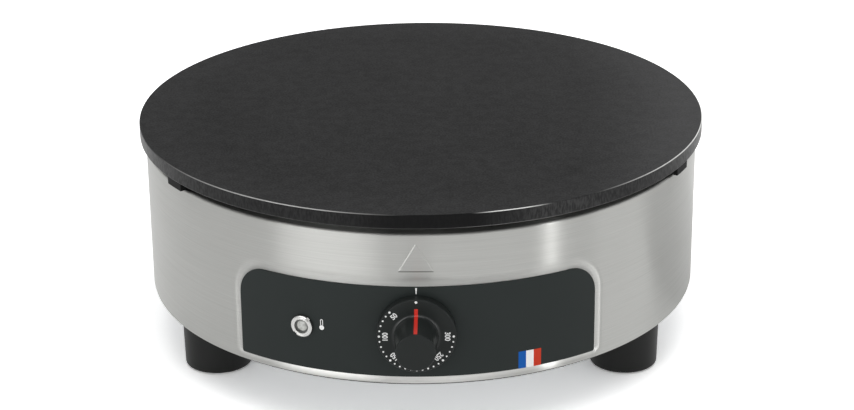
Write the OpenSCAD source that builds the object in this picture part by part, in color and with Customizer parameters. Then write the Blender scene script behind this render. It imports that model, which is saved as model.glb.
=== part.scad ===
// Electric crepe maker: a cast-iron cooking plate on a brushed steel drum with three feet.
// +Z is up, the front faces -Y, and the origin is on the worktop under the plate's axis.
// An "az" angle is measured from the front: positive towards +X.

/* [Cooking plate] */
// Diameter of the cooking plate
plate_d = 400; // [330:1:480]
// Thickness of the cooking plate at its rim
plate_t = 9.8; // [8:0.1:14]
// Chamfer of the plate's upper edge
plate_chamfer = 0.7; // [0.3:0.1:1.5]
// Height of the cooking surface above the worktop
total_h = 160; // [133:1:200]

/* [Drum] */
// How far the plate's rim stands out beyond the drum
rim_overhang = 4; // [2:0.5:8]
// Open gap between the plate's underside and the drum
plate_gap = 5.2; // [4:0.1:8]
// Thickness of the drum's steel sheet
sheet_t = 1; // [0.8:0.1:1.5]
// Outside radius of the drum's two bends
bend_r = 1.8; // [1.6:0.1:2.5]
// Width of the flange turned in at the foot of the drum
foot_flange_w = 13; // [12:0.5:18]
// Width of the flange turned in at the top of the drum
top_flange_w = 10; // [9:0.5:14]
// Side length of the pressed triangle above the knob
triangle_w = 21.6; // [10:0.1:26]
// Depth of the pressed triangle
triangle_depth = 0.4; // [0.2:0.1:0.6]

/* [Control panel] */
// Width of the fascia, measured round the drum
fascia_w = 253; // [200:1:320]
// Thickness of the fascia
fascia_t = 1; // [0.6:0.1:1.5]
// Bare steel above the fascia
fascia_top_margin = 37; // [30:0.5:44]
// Bare steel below the fascia
fascia_foot_margin = 5.6; // [4:0.1:10]
// Corner radius at the top of the fascia
fascia_corner_r = 20.5; // [8:0.5:25]
// Corner radius at the foot of the fascia
fascia_foot_corner_r = 1.5; // [0.5:0.1:5]
// Depth of the pressed recess that the fascia lies in
recess_depth = 1.2; // [0.8:0.1:2]
// Width of the bare band between the fascia and the side of the recess
recess_border = 5.5; // [3:0.1:9]
// Width of the bare band above the fascia
recess_top_border = 7; // [3:0.1:10]

/* [Knob] */
// Diameter of the knob's skirt
knob_skirt_d = 52; // [40:1:64]
// Thickness of the knob's skirt
knob_skirt_t = 6.4; // [5:0.1:9]
// Diameter of the grip where it meets the skirt
knob_grip_d = 30.6; // [25:0.1:38]
// Diameter of the grip at its end
knob_end_d = 25; // [21:0.1:31]
// Length of the grip
knob_grip_l = 24.5; // [20:0.5:32]
// Height of the knob's axis above the middle of the fascia
knob_rise = 0.7; // [-2:0.1:3]
// Width of the pointer line
pointer_w = 2.4; // [1.5:0.1:4]
// Diameter of the thermostat's spindle
spindle_d = 6; // [5:0.1:7.2]

/* [Pilot lamp] */
// Place of the lamp round the drum
lamp_az = -22.5; // [-30:0.5:-17]
// Diameter of the lamp's bezel
bezel_d = 15.5; // [12.9:0.1:20]
// Diameter of the lens that shows
lens_d = 7.3; // [6:0.1:9]

/* [Feet] */
// Height of the feet
foot_h = 37; // [30:0.5:46]
// Diameter of a foot at its top
foot_top_d = 46; // [38:0.5:56]
// Diameter of a foot at its sole
foot_sole_d = 43.4; // [36:0.2:52]
// Distance from the drum's wall to a foot's axis
foot_inset = 31; // [29:0.5:40]
// Thickness of the base plate
base_t = 1; // [0.8:0.1:2]

/* [Heating] */
// Diameter of the heating elements' tube
tube_d = 8.5; // [6.5:0.1:10.2]
// Distance from the plate's rim to the outer element
element_inset = 42; // [36:1:50]
// Distance between the outer and the inner element
element_pitch = 60; // [50:1:72]
// Distance between the two legs of one element
leg_spacing = 36; // [28:1:44]
// Thickness of the insulation blanket
blanket_t = 22; // [16:1:27]

/* [Cable entry] */
// Diameter of the cord that the gland takes
cord_d = 10; // [8:0.1:12]
// Height of the gland's axis above the base plate
gland_rise = 22; // [18:0.5:27]

/* [Hidden] */
$fn = 96;

// Fits and clearances
fit = 0.05;        // running or push fit, on the radius or between faces
close = 0.1;       // close hole for a screw or a stud, on the radius
loose = 0.2;       // free hole for a screw, on the radius
clear = 0.3;       // free gap round a thing that passes through
cut = 1;           // how far a cutting shape runs past the faces it cuts
eps = 0.01;        // overlap of shapes that are joined in one piece

// Levels and radii
plate_r = plate_d / 2;
drum_r = plate_r - rim_overhang;
drum_in_r = drum_r - sheet_t;
base_top = foot_h + base_t;
drum_top = total_h - plate_t - plate_gap;
plate_bottom = total_h - plate_t;
base_gap = 0.4;                       // round the base plate, inside the recess's wall
base_r = drum_r - recess_depth - sheet_t - base_gap;

// Fascia and its recess
fascia_foot = base_top + fascia_foot_margin;
fascia_top = drum_top - fascia_top_margin;
recess_r = drum_r - recess_depth;
recess_in_r = recess_r - sheet_t;
fascia_r = recess_r + fit + fascia_t;
panel_mid = (fascia_foot + fascia_top) / 2;

// Knob and thermostat, as distances from the plate's axis towards the front
knob_z = panel_mid + knob_rise;
knob_gap = 1.2;                       // between the skirt and the fascia
knob_back = fascia_r + knob_gap;
knob_bore_depth = 19;
grip_wall = 3.2;
grip_r = knob_grip_d / 2;
end_r = knob_end_d / 2;
knob_l = knob_skirt_t + knob_grip_l;
pointer_depth = 0.9;
pointer_proud = 0.1;
pointer_from = knob_skirt_d / 2 - 6.5;
boss_r = spindle_d / 2 + 4;
clip_t = 0.5;
clip_w = 6;
clip_from = 3;                        // from the back of the skirt
clip_turn = 300;
bracket_t = 1.5;
bracket_depth = 9;
bracket_front = recess_in_r - bracket_depth;
bracket_back = bracket_front - bracket_t;
bracket_w = 60;
bracket_h = 40;
bracket_foot_w = 11;
cover_t = 1.5;
case_w = 36;
case_h = 34;
case_l = 27;
case_wall = 1.5;
case_front = bracket_back - fit - cover_t;
case_back = case_front - case_l;
bushing_r = spindle_d / 2 + 2;
bushing_l = 5;
adjuster_t = 6;
adjuster_h = 9;
adjuster_back = case_back + 9;
spindle_back = adjuster_back - 2;
m4_r = 2;
m4_head_r = 3.6;
m4_head_h = 2;
thermostat_screw_x = 14;
tab_l = 8;
tab_w = 6.3;
tab_t = 0.8;
tab_x = 9;
tab_dz = 8;
tab_inside = 1;

// Heating: levels below the plate
element_z = plate_bottom - tube_d / 2 - fit;
element_outer_r = plate_r - element_inset;
element_inner_r = element_outer_r - element_pitch;
element_mid_r = (element_outer_r + element_inner_r) / 2;
element_dir = 45;                     // side of the elements' legs, from +X
element_bend_r = 12;
leg_gap = 0.8;                        // round the legs, through the insulation
disc_t = 1.5;
disc_top = plate_bottom - tube_d - 2 * fit;
disc_bottom = disc_top - disc_t;
disc_r = element_outer_r + 14;
pan_t = 0.8;
pan_floor_top = disc_bottom - blanket_t;
pan_bottom = pan_floor_top - pan_t;
pan_r = drum_in_r - 12;
leg_end = pan_bottom - 9;
seal_l = 4;
pin_r = 2;
pin_l = 12;
pin_end = leg_end - seal_l - pin_l;
m6_r = 3;
m6_nut_af = 10;
m6_nut_h = 5;
stud_angles = [105, 225, 345];
stud_bottom = pan_bottom - m6_nut_h - 2;
stud_depth = 5.5;                     // how far the studs reach into the plate
blind_end = 1;                        // room at the end of a blind hole
stud_boss_r = 7;
stud_boss_h = 5;
bulb_d = 6;
bulb_l = 80;
bulb_y = -(element_mid_r - 12);
bulb_z = plate_bottom - bulb_d / 2 - fit;
capillary_r = 1;
capillary_x = bulb_l / 2 + 21;

// Tie rod
rod_r = 5;
rod_boss_r = 14;
rod_boss_h = tube_d - 1;
rod_depth = 6;
rod_washer_t = 2;
rod_washer_r = 13;
rod_nut_h = 8;
rod_nut_af = 17;
rod_bottom = foot_h - rod_washer_t - rod_nut_h - 3;

// Pads under the plate
pad_angles = [-55.5, 64.5, 184.5];
pad_deg = 5.2;
pad_r = plate_r - 0.8;
pad_lip = 0.5;                        // hangs down in front of the drum's wall
pad_inset = 2;                        // from the edge of the drum's top flange
pad_peg_r = 2.5;
pad_peg_l = 4;
pad_peg_at = drum_in_r - 5;

// Base fasteners and feet
base_screw_angles = [-150, -90, -30, 30, 90, 150];
clinch_r = 3.2;
clinch_h = 3.2;
base_screw_at = recess_in_r - clinch_r - 0.6;
base_screw_head_r = 3.8;
base_screw_head_h = 2.4;
thread_end = 1;                       // how far a screw reaches out of its nut
foot_angles = [-60, 60, 180];
foot_at = drum_r - foot_inset;
foot_edge_r = 2;
foot_wall = 3;
foot_floor = 5;
pad_proud = 0.8;
sole_pad_t = 3.3;
sole_pad_r = foot_sole_d / 2 - foot_edge_r - 0.7;
foot_boss_r = 8;
foot_head_r = 5.5;
foot_head_h = 3.5;

// Rear fittings
gland_z = base_top + gland_rise;
gland_r = cord_d / 2 + 5;
gland_af = 2 * gland_r + 4;
gland_flange_l = 6;
gland_len = 32;                       // how far the gland stands out of the drum
gland_back = drum_r + 0.15;
gland_inner_l = 12;
seal_r = cord_d / 2 + 3;
seal_len = 12.8;
gland_collar_r = seal_r + 1.4;
gland_flange_end = gland_back + gland_flange_l;
gland_end = drum_r + gland_len;
seal_start = gland_flange_end + 1;
gland_nut_h = 5;
block_x = -45;
block_y = 115;
block_w = 52;
block_l = 22;
block_h = 16;
block_pitch = 12;
block_poles = [-1.5, -0.5, 0.5, 1.5];
block_bore_r = 2.2;
block_screw_x = [block_x - block_pitch, block_x + block_pitch];
block_clamp_r = 2;
clamp_sunk = 1;                       // below the block's top
block_bore_z = base_top + 7;
block_screw_seat = base_top + block_h - 3;
block_clamp_h = base_top + block_h - clamp_sunk - block_bore_z - block_bore_r;
earth_at = [30, 125];
m5_r = 2.5;
m5_nut_af = 8;
m5_nut_h = 4;
wire_r = 1.4;
lead_gap = 0.3;                       // between a lead's end and the piece it is joined to
pin_drop = (pin_end - base_top) / 2;  // how far the leads hang below the elements' pins

// Pilot lamp, as distances from the plate's axis
lamp_z = panel_mid - 1.5;
lamp_thread_r = bezel_d / 2 - 1.75;
lamp_bore_r = lamp_thread_r - 1;
bezel_t = 2.6;
bezel_back = fascia_r + fit;
lamp_tube_l = 24;
lamp_tube_end = bezel_back - lamp_tube_l;
lens_proud = 2.3;
lens_seat_l = 6;
lamp_plug_l = 10;
lamp_back = lamp_tube_end - fit - lamp_plug_l;
lamp_lead_l = 5;
lamp_lead_x = 2.4;
lamp_nut_af = 2 * lamp_thread_r + 4;
lamp_nut_h = 4;
notch_turns = [50, 230];
lens_seat = bezel_back + bezel_t - 2.2;

cooking_plate();
plate_rest_pads();
drum_shell();
clinch_nuts();
base_plate();
base_screws();
foot(foot_angles[0]);  // foot_front_left
foot(foot_angles[1]);  // foot_front_right
foot(foot_angles[2]);  // foot_rear
foot_pads();
foot_screws();
foot_nuts();
control_fascia();
knob();
knob_pointer();
knob_clip();
thermostat_bracket();
thermostat_case();
thermostat_cover();
thermostat_screws();
thermostat_spindle();
thermostat_adjuster();
thermostat_terminals();
capillary_tube();
sensor_bulb();
bulb_clip();
lamp_bezel();
lamp_lens();
lamp_body();
lamp_nut();
heating_element(element_outer_r);  // heating_element_outer
heating_element(element_inner_r);  // heating_element_inner
element_seals();
element_pins();
element_clamp_disc();
clamp_studs();
stud_nuts(disc_bottom - m6_nut_h);  // clamp_nuts
stud_nuts(pan_bottom - m6_nut_h);  // pan_nuts
insulation_blanket();
insulation_pan();
tie_rod();
tie_rod_washer();
tie_rod_nut();
terminal_block();
terminal_block_screws();
terminal_clamps();
earth_stud();
earth_nuts();
gland_body();
gland_dome_nut();
gland_seal();
gland_locknut();
wire_live();
wire_heater();
wire_neutral();
wire_earth();
lamp_wires();
element_links();

// ---------------------------------------------------------------- helpers

// Points along an arc, for outlines.
function arc(cx, cy, r, a0, a1, n = 6) =
    [for (i = [0:n]) let (a = a0 + (a1 - a0) * i / n) [cx + r * cos(a), cy + r * sin(a)]];

// A place given round the drum (az) and out from its axis.
function around(az, r, z = 0) = [r * sin(az), -r * cos(az), z];

// Cutting shape for a round hole from z0 to z1; it runs past both faces.
module hole(r, z0, z1) {
    translate([0, 0, z0 - cut]) cylinder(r = r, h = z1 - z0 + 2 * cut);
}

module tube(ro, ri, z0, z1) {
    difference() {
        translate([0, 0, z0]) cylinder(r = ro, h = z1 - z0);
        hole(ri, z0, z1);
    }
}

module hexagon(af, h) {
    cylinder(d = af / cos(30), h = h, $fn = 6);
}

module hex_nut(af, h, shank_r) {
    difference() {
        hexagon(af, h);
        hole(shank_r + fit, 0, h);
    }
}

// Children are drawn with local +Z pointing out of the drum at az, and local Y upwards.
// Local Z is then the distance from the plate's axis.
module outward(az, z) {
    rotate([0, 0, az]) translate([0, 0, z]) rotate([90, 0, 0]) children();
}

module at_each(angles, r, z = 0) {
    for (az = angles) translate(around(az, r, z)) rotate([0, 0, az]) children();
}

// ---------------------------------------------------------------- cooking plate

module cooking_plate() {
    under_chamfer = 0.5;
    color([0.20, 0.20, 0.21])
        difference() {
            union() {
                rotate_extrude()
                    polygon([
                        [0, plate_bottom], [plate_r - under_chamfer, plate_bottom],
                        [plate_r, plate_bottom + under_chamfer],
                        [plate_r, total_h - plate_chamfer], [plate_r - plate_chamfer, total_h],
                        [0, total_h]
                    ]);
                translate([0, 0, plate_bottom - rod_boss_h])
                    cylinder(r = rod_boss_r, h = rod_boss_h + eps);
                for (a = stud_angles) rotate([0, 0, a])
                    translate([element_mid_r, 0, plate_bottom - stud_boss_h])
                        cylinder(r = stud_boss_r, h = stud_boss_h + eps);
            }
            translate([0, 0, plate_bottom - rod_boss_h - cut])
                cylinder(r = rod_r + fit, h = rod_boss_h + cut + rod_depth);
            for (a = stud_angles) rotate([0, 0, a])
                translate([element_mid_r, 0, plate_bottom - stud_boss_h - cut])
                    cylinder(r = m6_r + fit, h = stud_boss_h + cut + stud_depth);
        }
}

// Three moulded pads hold the plate off the drum; a peg sits in the drum's top flange.
module plate_rest_pads() {
    inner_r = drum_in_r - top_flange_w + pad_inset;
    outer_r = drum_r + loose;
    color([0.08, 0.08, 0.08])
        for (az = pad_angles) {
            rotate([0, 0, az - 90 - pad_deg / 2])
                rotate_extrude(angle = pad_deg)
                    polygon([
                        [inner_r, drum_top], [outer_r, drum_top], [outer_r, drum_top - pad_lip],
                        [pad_r, drum_top - pad_lip], [pad_r, plate_bottom], [inner_r, plate_bottom]
                    ]);
            translate(around(az, pad_peg_at, drum_top - pad_peg_l))
                cylinder(r = pad_peg_r, h = pad_peg_l + eps);
        }
}

// ---------------------------------------------------------------- drum

// Outline seen from the front of a patch w wide round the drum, between two heights.
// Its top corners are rounded with radius r and its foot corners with radius q.
function patch(w, z0, z1, r, q) =
    let (
        flat = concat(
            arc(w / 2 - q, z0 + q, q, -90, 0, 3), arc(w / 2 - r, z1 - r, r, 0, 90, 10),
            arc(r - w / 2, z1 - r, r, 90, 180, 10), arc(q - w / 2, z0 + q, q, 180, 270, 3)
        )
    )
    [for (p = flat) [drum_r * sin(p[0] / drum_r * 180 / PI), p[1]]];

// A curved slab between two radii, cut to an outline seen from the front.
module curved_slab(outline, ri, ro) {
    z0 = min([for (p = outline) p[1]]);
    z1 = max([for (p = outline) p[1]]);
    intersection() {
        tube(ro, ri, z0 - cut, z1 + cut);
        rotate([90, 0, 0]) linear_extrude(height = ro + cut) polygon(outline);
    }
}

// The recess is open at the foot of the drum.
recess_foot = base_top - 5;
recess_outline = patch(
    fascia_w + 2 * recess_border, recess_foot, fascia_top + recess_top_border,
    fascia_corner_r + recess_border, fascia_foot_corner_r
);
recess_back_outline = patch(
    fascia_w + 2 * recess_border + 2 * sheet_t, recess_foot,
    fascia_top + recess_top_border + sheet_t,
    fascia_corner_r + recess_border + sheet_t, fascia_foot_corner_r
);

module drum_blank() {
    inside_bend = bend_r - sheet_t;
    foot_edge = drum_in_r - foot_flange_w;
    top_edge = drum_in_r - top_flange_w;
    rotate_extrude()
        polygon(concat(
            [[foot_edge, base_top]],
            arc(drum_r - bend_r, base_top + bend_r, bend_r, -90, 0),
            arc(drum_r - bend_r, drum_top - bend_r, bend_r, 0, 90),
            [[top_edge, drum_top], [top_edge, drum_top - sheet_t]],
            arc(drum_r - bend_r, drum_top - bend_r, inside_bend, 90, 0),
            arc(drum_r - bend_r, base_top + bend_r, inside_bend, 0, -90),
            [[foot_edge, base_top + sheet_t]]
        ));
}

module drum_shell() {
    triangle_h = triangle_w * 0.85;   // a little under an even-sided triangle's height
    triangle_drop = 1.8;              // below the middle of the bare steel
    triangle_foot = (fascia_top + recess_top_border + drum_top - triangle_h) / 2 - triangle_drop;
    color([0.72, 0.72, 0.70])
        difference() {
            union() {
                difference() {
                    drum_blank();
                    curved_slab(recess_outline, recess_r, drum_r + cut);
                }
                intersection() {
                    curved_slab(recess_back_outline, recess_in_r, recess_r);
                    tube(drum_r, drum_in_r - foot_flange_w, base_top, drum_top);
                }
            }
            outward(0, triangle_foot)
                translate([0, 0, drum_r - triangle_depth])
                    linear_extrude(height = triangle_depth + cut)
                        polygon([[-triangle_w / 2, 0], [triangle_w / 2, 0], [0, triangle_h]]);
            outward(0, knob_z) cylinder(r = bushing_r + 2, h = drum_r + cut);
            outward(lamp_az, lamp_z) cylinder(r = lamp_thread_r + clear, h = drum_r + cut);
            outward(180, gland_z) cylinder(r = gland_r + close, h = drum_r + cut);
            at_each(pad_angles, pad_peg_at) hole(pad_peg_r + fit, drum_top - sheet_t, drum_top);
            at_each(base_screw_angles, base_screw_at) hole(m4_r + loose, base_top, base_top + sheet_t);
        }
}

module clinch_nuts() {
    color([0.75, 0.75, 0.78])
        at_each(base_screw_angles, base_screw_at) tube(
            clinch_r, m4_r + fit, base_top + sheet_t, base_top + sheet_t + clinch_h
        );
}

// ---------------------------------------------------------------- base

module base_plate() {
    vents = 12;
    vent_rows = 2;
    vent_w = 4;
    vent_l = 24;
    vent_from = 40;
    vent_pitch = 34;
    color([0.55, 0.56, 0.56])
        difference() {
            translate([0, 0, foot_h]) cylinder(r = base_r, h = base_t);
            hole(rod_r + clear, foot_h, base_top);
            at_each(foot_angles, foot_at) hole(m6_r + clear, foot_h, base_top);
            at_each(base_screw_angles, base_screw_at) hole(m4_r + loose, foot_h, base_top);
            for (i = [0:vents - 1]) rotate([0, 0, (i + 0.5) * 360 / vents])
                for (row = [0:vent_rows - 1])
                    translate([vent_from + row * vent_pitch, -vent_w / 2, foot_h - cut])
                        cube([vent_l, vent_w, base_t + 2 * cut]);
            for (x = block_screw_x) translate([x, block_y, 0]) hole(m4_r + close, foot_h, base_top);
            translate(earth_at) hole(m5_r + close, foot_h, base_top);
        }
}

// Button-head screw with a hexagon socket, head down, its shank reaching up to the length l.
module button_screw(shank_r, head_r, head_h, l) {
    dome_r = (head_r * head_r + head_h * head_h) / (2 * head_h);
    socket_af = head_r * 0.66;
    socket_depth = head_h * 0.65;
    difference() {
        union() {
            intersection() {
                translate([0, 0, dome_r - head_h]) sphere(r = dome_r);
                translate([0, 0, -head_h]) cylinder(r = head_r, h = head_h);
            }
            translate([0, 0, -eps]) cylinder(r = shank_r, h = l + eps);
        }
        translate([0, 0, -head_h - cut]) hexagon(socket_af, cut + socket_depth);
    }
}

module base_screws() {
    color([0.85, 0.85, 0.86])
        at_each(base_screw_angles, base_screw_at, foot_h)
            button_screw(
                m4_r, base_screw_head_r, base_screw_head_h, base_t + sheet_t + clinch_h + thread_end
            );
}

// Hollow moulded foot: a drafted wall, a floor and a boss round the screw.
module foot(az) {
    top_r = foot_top_d / 2;
    sole_r = foot_sole_d / 2;
    floor_top = sole_pad_t + foot_floor;
    color([0.13, 0.13, 0.13])
        translate(around(az, foot_at))
            difference() {
                rotate_extrude()
                    polygon(concat(
                        [[0, pad_proud]],
                        arc(sole_r - foot_edge_r, pad_proud + foot_edge_r, foot_edge_r, -90, 0),
                        [[top_r, foot_h], [0, foot_h]]
                    ));
                difference() {
                    translate([0, 0, floor_top])
                        cylinder(r = sole_r - foot_wall, h = foot_h - floor_top + cut);
                    hole(foot_boss_r, floor_top, foot_h + cut);
                }
                translate([0, 0, -cut]) cylinder(r = sole_pad_r + fit, h = sole_pad_t + cut);
                translate([0, 0, -cut])
                    cylinder(r = foot_head_r + clear, h = sole_pad_t + foot_head_h + cut + clear);
                hole(m6_r + clear, 0, foot_h);
            }
}

module foot_pads() {
    edge = 0.5;
    color([0.06, 0.06, 0.06])
        at_each(foot_angles, foot_at)
            rotate_extrude()
                polygon([
                    [0, 0], [sole_pad_r - edge, 0], [sole_pad_r, edge],
                    [sole_pad_r, sole_pad_t - fit], [0, sole_pad_t - fit]
                ]);
}

module foot_screws() {
    head_top = sole_pad_t + foot_head_h + clear;
    color([0.78, 0.78, 0.80])
        at_each(foot_angles, foot_at, head_top)
            button_screw(
                m6_r, foot_head_r, foot_head_h, base_top + m6_nut_h + thread_end - head_top
            );
}

module foot_nuts() {
    color([0.78, 0.78, 0.80])
        at_each(foot_angles, foot_at, base_top) hex_nut(m6_nut_af, m6_nut_h, m6_r);
}

// ---------------------------------------------------------------- control panel

module control_fascia() {
    outline = patch(
        fascia_w, fascia_foot, fascia_top, fascia_corner_r, fascia_foot_corner_r
    );
    color([0.18, 0.19, 0.19])
        difference() {
            curved_slab(outline, recess_r + fit, fascia_r);
            outward(0, knob_z) cylinder(r = bushing_r + 1, h = drum_r + cut);
            outward(lamp_az, lamp_z) cylinder(r = lamp_thread_r + loose, h = drum_r + cut);
        }
}

// ---------------------------------------------------------------- knob

// Radius of the grip at a height above the back of the skirt.
function grip_at(z) = grip_r - (grip_r - end_r) * (z - knob_skirt_t) / knob_grip_l;

// Profile of the pointer's strip: over the skirt and up the grip.
function pointer_profile(proud) =
    let (top = knob_l - pointer_depth, face = knob_skirt_t)
    [
        [pointer_from, face + proud], [grip_r + proud, face + proud],
        [grip_at(top) + proud, top], [grip_at(top) - pointer_depth, top],
        [grip_r - pointer_depth, face - pointer_depth], [pointer_from, face - pointer_depth]
    ];

module pointer_strip(w, proud) {
    rotate([90, 0, 90]) translate([0, 0, -w / 2])
        linear_extrude(height = w) polygon(pointer_profile(proud));
}

// Shape of the spindle's end: round with one flat, at the side away from the pointer.
module d_shaft(r, l) {
    flat_depth = r * 0.45;
    difference() {
        cylinder(r = r, h = l);
        translate([-r - cut, -r - cut, -cut]) cube([2 * (r + cut), cut + flat_depth, l + 2 * cut]);
    }
}

module knob() {
    skirt_r = knob_skirt_d / 2;
    hollow_r = grip_r - grip_wall;
    back_edge = 0.3;
    front_edge = 1;
    end_edge = 0.9;
    draft = 6;
    color([0.10, 0.10, 0.10])
        outward(0, knob_z) translate([0, 0, knob_back])
            difference() {
                rotate_extrude()
                    polygon(concat(
                        [[0, 0], [skirt_r - back_edge, 0], [skirt_r, back_edge]],
                        arc(skirt_r - front_edge, knob_skirt_t - front_edge, front_edge, 0, 90, 4),
                        [[grip_r, knob_skirt_t]],
                        arc(end_r - end_edge, knob_l - end_edge, end_edge, draft, 90, 4),
                        [[0, knob_l]]
                    ));
                difference() {
                    translate([0, 0, -cut]) cylinder(r = hollow_r, h = knob_bore_depth + cut);
                    hole(boss_r, -cut, knob_bore_depth);
                }
                translate([0, 0, -cut]) d_shaft(spindle_d / 2 + fit, knob_bore_depth + cut);
                pointer_strip(pointer_w + 2 * fit, 3 * cut);
            }
}

module knob_pointer() {
    color([0.80, 0.06, 0.05])
        outward(0, knob_z) translate([0, 0, knob_back]) pointer_strip(pointer_w, pointer_proud);
}

// Split spring ring round the knob's boss.
module knob_clip() {
    color([0.70, 0.70, 0.72])
        outward(0, knob_z) translate([0, 0, knob_back + clip_from])
            rotate([0, 0, -60]) rotate_extrude(angle = clip_turn)
                translate([boss_r + fit, 0]) square([clip_t, clip_w]);
}

// ---------------------------------------------------------------- thermostat

module thermostat_bracket() {
    foot_in = bracket_w / 2;
    reach = bracket_depth + 5;        // past the wall; the cylinder below trims it
    color([0.70, 0.71, 0.72])
        difference() {
            union() {
                outward(0, knob_z) translate([-bracket_w / 2, -bracket_h / 2, bracket_back])
                    cube([bracket_w, bracket_h, bracket_t]);
                intersection() {
                    outward(0, knob_z)
                        for (side = [-1, 1])
                            translate([
                                side * (foot_in - bracket_t / 2) - bracket_t / 2, -bracket_h / 2,
                                bracket_back
                            ])
                                cube([bracket_t, bracket_h, reach]);
                    cylinder(r = recess_in_r - fit, h = drum_top);
                }
                intersection() {
                    tube(
                        recess_in_r - fit, recess_in_r - fit - bracket_t,
                        knob_z - bracket_h / 2, knob_z + bracket_h / 2
                    );
                    outward(0, knob_z)
                        for (side = [-1, 1])
                            translate([
                                side * (foot_in + bracket_foot_w / 2 - bracket_t / 2)
                                - bracket_foot_w / 2 - bracket_t / 2,
                                -bracket_h / 2, bracket_back
                            ])
                                cube([bracket_foot_w + bracket_t, bracket_h, reach]);
                }
            }
            outward(0, knob_z) cylinder(r = bushing_r + clear, h = drum_r);
            outward(0, knob_z)
                for (side = [-1, 1]) translate([side * thermostat_screw_x, 0, 0])
                    hole(m4_r + loose, bracket_back, bracket_front);
        }
}

module thermostat_case() {
    color([0.86, 0.85, 0.80])
        outward(0, knob_z)
            difference() {
                translate([-case_w / 2, -case_h / 2, case_back]) cube([case_w, case_h, case_l]);
                translate([-case_w / 2 + case_wall, -case_h / 2 + case_wall, case_back + case_wall])
                    cube([case_w - 2 * case_wall, case_h - 2 * case_wall, case_l]);
                for (x = [-tab_x, tab_x]) for (dz = [-tab_dz, tab_dz])
                    translate([x - tab_w / 2 - fit, dz - tab_t / 2 - fit, case_back - cut])
                        cube([tab_w + 2 * fit, tab_t + 2 * fit, case_wall + 2 * cut]);
            }
}

module thermostat_cover() {
    bushing_back = case_front - 4;
    bushing_end = case_front + cover_t + bushing_l + bracket_t;
    color([0.74, 0.74, 0.75])
        outward(0, knob_z)
            difference() {
                union() {
                    translate([-case_w / 2, -case_h / 2, case_front])
                        cube([case_w, case_h, cover_t]);
                    translate([0, 0, bushing_back])
                        cylinder(r = bushing_r, h = bushing_end - bushing_back);
                }
                hole(spindle_d / 2 + fit, bushing_back, bushing_end);
                for (side = [-1, 1]) translate([side * thermostat_screw_x, 0, 0])
                    hole(m4_r + fit, case_front, case_front + cover_t);
            }
}

module thermostat_screws() {
    color([0.80, 0.80, 0.82])
        outward(0, knob_z)
            for (side = [-1, 1]) translate([side * thermostat_screw_x, 0, bracket_front])
                rotate([180, 0, 0]) button_screw(
                    m4_r, m4_head_r, m4_head_h, bracket_t + cover_t + 3 * thread_end
                );
}

// Round through its bushing, with a flat inside the knob.
module thermostat_spindle() {
    flat_from = knob_back - 1;
    color([0.76, 0.72, 0.60])
        outward(0, knob_z) {
            translate([0, 0, spindle_back])
                cylinder(r = spindle_d / 2, h = flat_from - spindle_back);
            translate([0, 0, flat_from - eps])
                d_shaft(spindle_d / 2, knob_bore_depth - 1 + eps);
        }
}

// Threaded bar that the spindle moves along its own axis; the case keeps it from turning.
module thermostat_adjuster() {
    w = case_w - 2 * case_wall - 2 * clear;
    color([0.80, 0.68, 0.35])
        outward(0, knob_z)
            difference() {
                translate([-w / 2, -adjuster_h / 2, adjuster_back]) cube([w, adjuster_h, adjuster_t]);
                hole(spindle_d / 2 + fit, adjuster_back, adjuster_back + adjuster_t);
            }
}

module thermostat_terminals() {
    color([0.80, 0.66, 0.30])
        outward(0, knob_z)
            for (x = [-tab_x, tab_x]) for (dz = [-tab_dz, tab_dz])
                translate([x - tab_w / 2, dz - tab_t / 2, case_back - tab_l])
                    cube([tab_w, tab_t, tab_l + case_wall + tab_inside]);
}

// ---------------------------------------------------------------- routes

function unit(v) = v / norm(v);

// Catmull-Rom curve through hand-chosen points, with n steps from one to the next.
function curve(p, n) =
    let (last = len(p) - 1)
    concat(
        [for (i = [0:last - 1], j = [0:n - 1])
            let (
                t = j / n, a = p[max(i - 1, 0)], b = p[i], c = p[i + 1], d = p[min(i + 2, last)]
            )
            0.5 * (2 * b + (c - a) * t + (2 * a - 5 * b + 4 * c - d) * t * t
                + (3 * b - a - 3 * c + d) * t * t * t)],
        [p[last]]
    );

function heading(p, i) = unit(p[min(i + 1, len(p) - 1)] - p[max(i - 1, 0)]);

// Side vectors carried along a path without twisting.
function sides(p, i = 0, u = [0.31, 0.17, 0.94]) =
    i == len(p) ? []
    : let (t = heading(p, i), w = unit(u - (u * t) * t)) concat([w], sides(p, i + 1, w));

// Round lead swept along a path.
module sweep(p, r, n = 8) {
    u = sides(p);
    rings = len(p);
    points = [for (i = [0:rings - 1], k = [0:n - 1])
        let (v = cross(heading(p, i), u[i])) p[i] + r * (cos(k * 360 / n) * u[i] + sin(k * 360 / n) * v)];
    walls = [for (i = [0:rings - 2], k = [0:n - 1])
        let (a = i * n + k, b = i * n + (k + 1) % n) each [[a, a + n, b + n], [a, b + n, b]]];
    ends = [[for (k = [0:n - 1]) k], [for (k = [n - 1:-1:0]) (rings - 1) * n + k]];
    polyhedron(points, concat(walls, ends));
}

module lead(p, r = wire_r, steps = 4) {
    sweep(curve(p, steps), r);
}

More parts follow.
